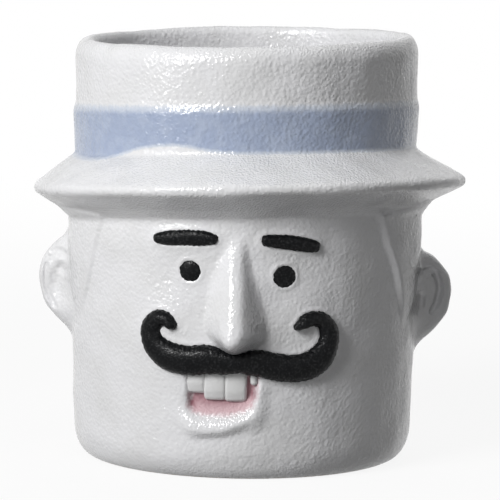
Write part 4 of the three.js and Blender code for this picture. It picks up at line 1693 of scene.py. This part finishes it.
@dataclass
class Studio:
    """Camera, floor, surroundings and lamps.

    Attributes:
        eye: Place of the camera in metres.
        aim: Point that it looks at.
        roll: Degrees by which it leans.
        focal: Focal length in millimetres on a sensor 36 mm wide.
        lamps: The soft boxes.
        ambient: Grey of the surroundings that light the pot.
        floor_white: Share of the floor near the pot that shows plain white, the rest showing the shadow.
        floor_reach: Half the floor's side in metres.
        shadow_reach: Distances in metres from the pot between which the floor turns all white.
    """

    eye: tuple[float, float, float] = (-0.0014, -1.059, 0.194)
    aim: tuple[float, float, float] = (0.00035, 0.0, 0.0623)
    roll: float = 0.85
    focal: float = 251.4
    lamps: tuple[Lamp, ...] = (
        Lamp("key", -40, 30, 1.1, (0.4, 0.4), 9.2),
        Lamp("strip", -52, 7, 1.0, (0.2, 0.12), 0.8),
        Lamp("fill", -20, 36, 1.3, (0.5, 0.5), 0.6, mirrored=False),
        Lamp("side", 100, 76, 1.1, (0.6, 0.6), 2.0),
        Lamp("back", 172, 35, 1.3, (0.8, 0.8), 3.2, mirrored=False),
    )
    ambient: float = 0.02
    floor_white: float = 0.9
    floor_reach: float = 6.0
    shadow_reach: Pair = (0.12, 0.8)

    def place_camera(self) -> None:
        """Makes the camera at the photograph's angle."""
        eye, aim = Vector(self.eye), Vector(self.aim)
        forward = (aim - eye).normalized()
        right = forward.cross(Vector((0, 0, 1))).normalized()
        up = right.cross(forward)
        lean = math.radians(self.roll)
        across = right * math.cos(lean) + up * math.sin(lean)
        upward = up * math.cos(lean) - right * math.sin(lean)
        camera = bpy.data.cameras.new("camera")
        camera.lens = self.focal
        camera.sensor_width = 36
        camera.clip_end = 20
        holder = bpy.data.objects.new("camera", camera)
        turn = Matrix((across, upward, -forward)).transposed()
        holder.matrix_world = Matrix.Translation(eye) @ turn.to_4x4()
        bpy.context.scene.collection.objects.link(holder)
        bpy.context.scene.camera = holder

    def seen_white(self, tree: NodeTree) -> Node:
        """1 for rays that show the surroundings white: those of the camera, of gloss and of glass."""
        rays = add_node(tree, "LightPath").outputs
        shown = rays["Is Camera Ray"]
        for kind in ("Is Glossy Ray", "Is Transmission Ray"):
            shown = add_node(tree, "Math", {0: shown, 1: rays[kind]}, operation="MAXIMUM")
        return shown

    def build_world(self) -> None:
        """Makes plain white surroundings that light the pot only as much as a grey room would."""
        world = bpy.data.worlds.new("studio")
        world.use_nodes = True
        tree = world.node_tree
        tree.nodes.clear()
        strength = add_node(tree, "MapRange", {"Value": self.seen_white(tree), "To Min": self.ambient})
        room = add_node(tree, "Background", {"Color": (1, 1, 1, 1), "Strength": strength})
        add_node(tree, "OutputWorld", {"Surface": room})
        bpy.context.scene.world = world

    def build_floor(self) -> Object:
        """Lays a matt, pale floor that keeps the pot's soft shadow."""
        material, tree = new_material("painted studio floor")
        seen = self.seen_white(tree)
        tints = linear("#8C8C8C"), linear("#F4F4F4")
        colour = add_node(tree, "Mix", {0: seen, 6: tints[0], 7: tints[1]}, data_type="RGBA")
        paint = add_node(tree, "BsdfDiffuse", {"Color": colour})
        white = add_node(tree, "Emission", {"Color": (1, 1, 1, 1), "Strength": 1.0})
        place = add_node(tree, "TexCoord").outputs["Object"]
        away = add_node(tree, "VectorMath", {0: place}, operation="LENGTH")
        near, far = self.shadow_reach
        plain = add_node(
            tree,
            "MapRange",
            {"Value": away, "From Min": near, "From Max": far, "To Min": self.floor_white},
            interpolation_type="SMOOTHSTEP",
        )
        share = add_node(tree, "Math", {0: seen, 1: plain}, operation="MULTIPLY")
        mixed = add_node(tree, "MixShader", {0: share, 1: paint, 2: white})
        add_node(tree, "OutputMaterial", {"Surface": mixed})
        mesh = bpy.data.meshes.new("floor")
        reach = self.floor_reach
        corners = [(-reach, -reach, 0), (reach, -reach, 0), (reach, reach, 0), (-reach, reach, 0)]
        mesh.from_pydata(corners, [], [(0, 1, 2, 3)])
        mesh.materials.append(material)
        floor = bpy.data.objects.new("floor", mesh)
        bpy.context.scene.collection.objects.link(floor)
        floor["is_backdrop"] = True
        return floor

    def build(self) -> None:
        """Sets up everything but the camera."""
        bpy.context.scene.view_settings.view_transform = "Standard"
        self.build_world()
        self.build_floor()
        for lamp in self.lamps:
            lamp.build(Vector(self.aim))


def main() -> None:
    """Builds the studio and the pot."""
    logging.basicConfig(level=logging.INFO, format="%(name)s: %(message)s")
    studio = Studio()
    studio.place_camera()
    studio.build()
    pot = GlazedPot()
    pot.build()
    clay = pot.clay
    black = BLACK_UNDERGLAZE.build()
    for feature in (
        BlackFeature("left_eyebrow", LEFT_BROW, 1.9, seed=11),
        BlackFeature("right_eyebrow", RIGHT_BROW, 1.9, seed=12),
        BlackFeature("left_eye", LEFT_EYE, 1.1, 2.0, 0.1, 13, 9, 0.2),
        BlackFeature("right_eye", RIGHT_EYE, 1.1, 2.0, 0.1, 14, 15, 0.2),
        BlackFeature("moustache", MOUSTACHE, 3.5, 2.2, 0.08, seed=15),
    ):
        feature.build(clay, black)
    enamel = SHADED_TOOTH_GLAZE.build()
    for tooth in (
        Tooth("left_tooth", -17.4, -11.2, 25.9, front=0.5),
        Tooth("middle_tooth", -12.0, -4.85, 24.0),
        Tooth("right_tooth", -5.5, 1.5, 23.7),
        Tooth("corner_tooth", 2.35, 4.55, 28.8, front=-0.4, back=2.4, rounding=1.08, bulge=0.0, curl=0.0),
    ):
        tooth.build(clay, enamel)
    DrainPlug().build()
    sizes = {"cad": cad_bounds, "visual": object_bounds()}
    {name: [list(map(float, corner)) for corner in box] for name, box in sizes.items()}


if __name__ == "__main__":
    main()
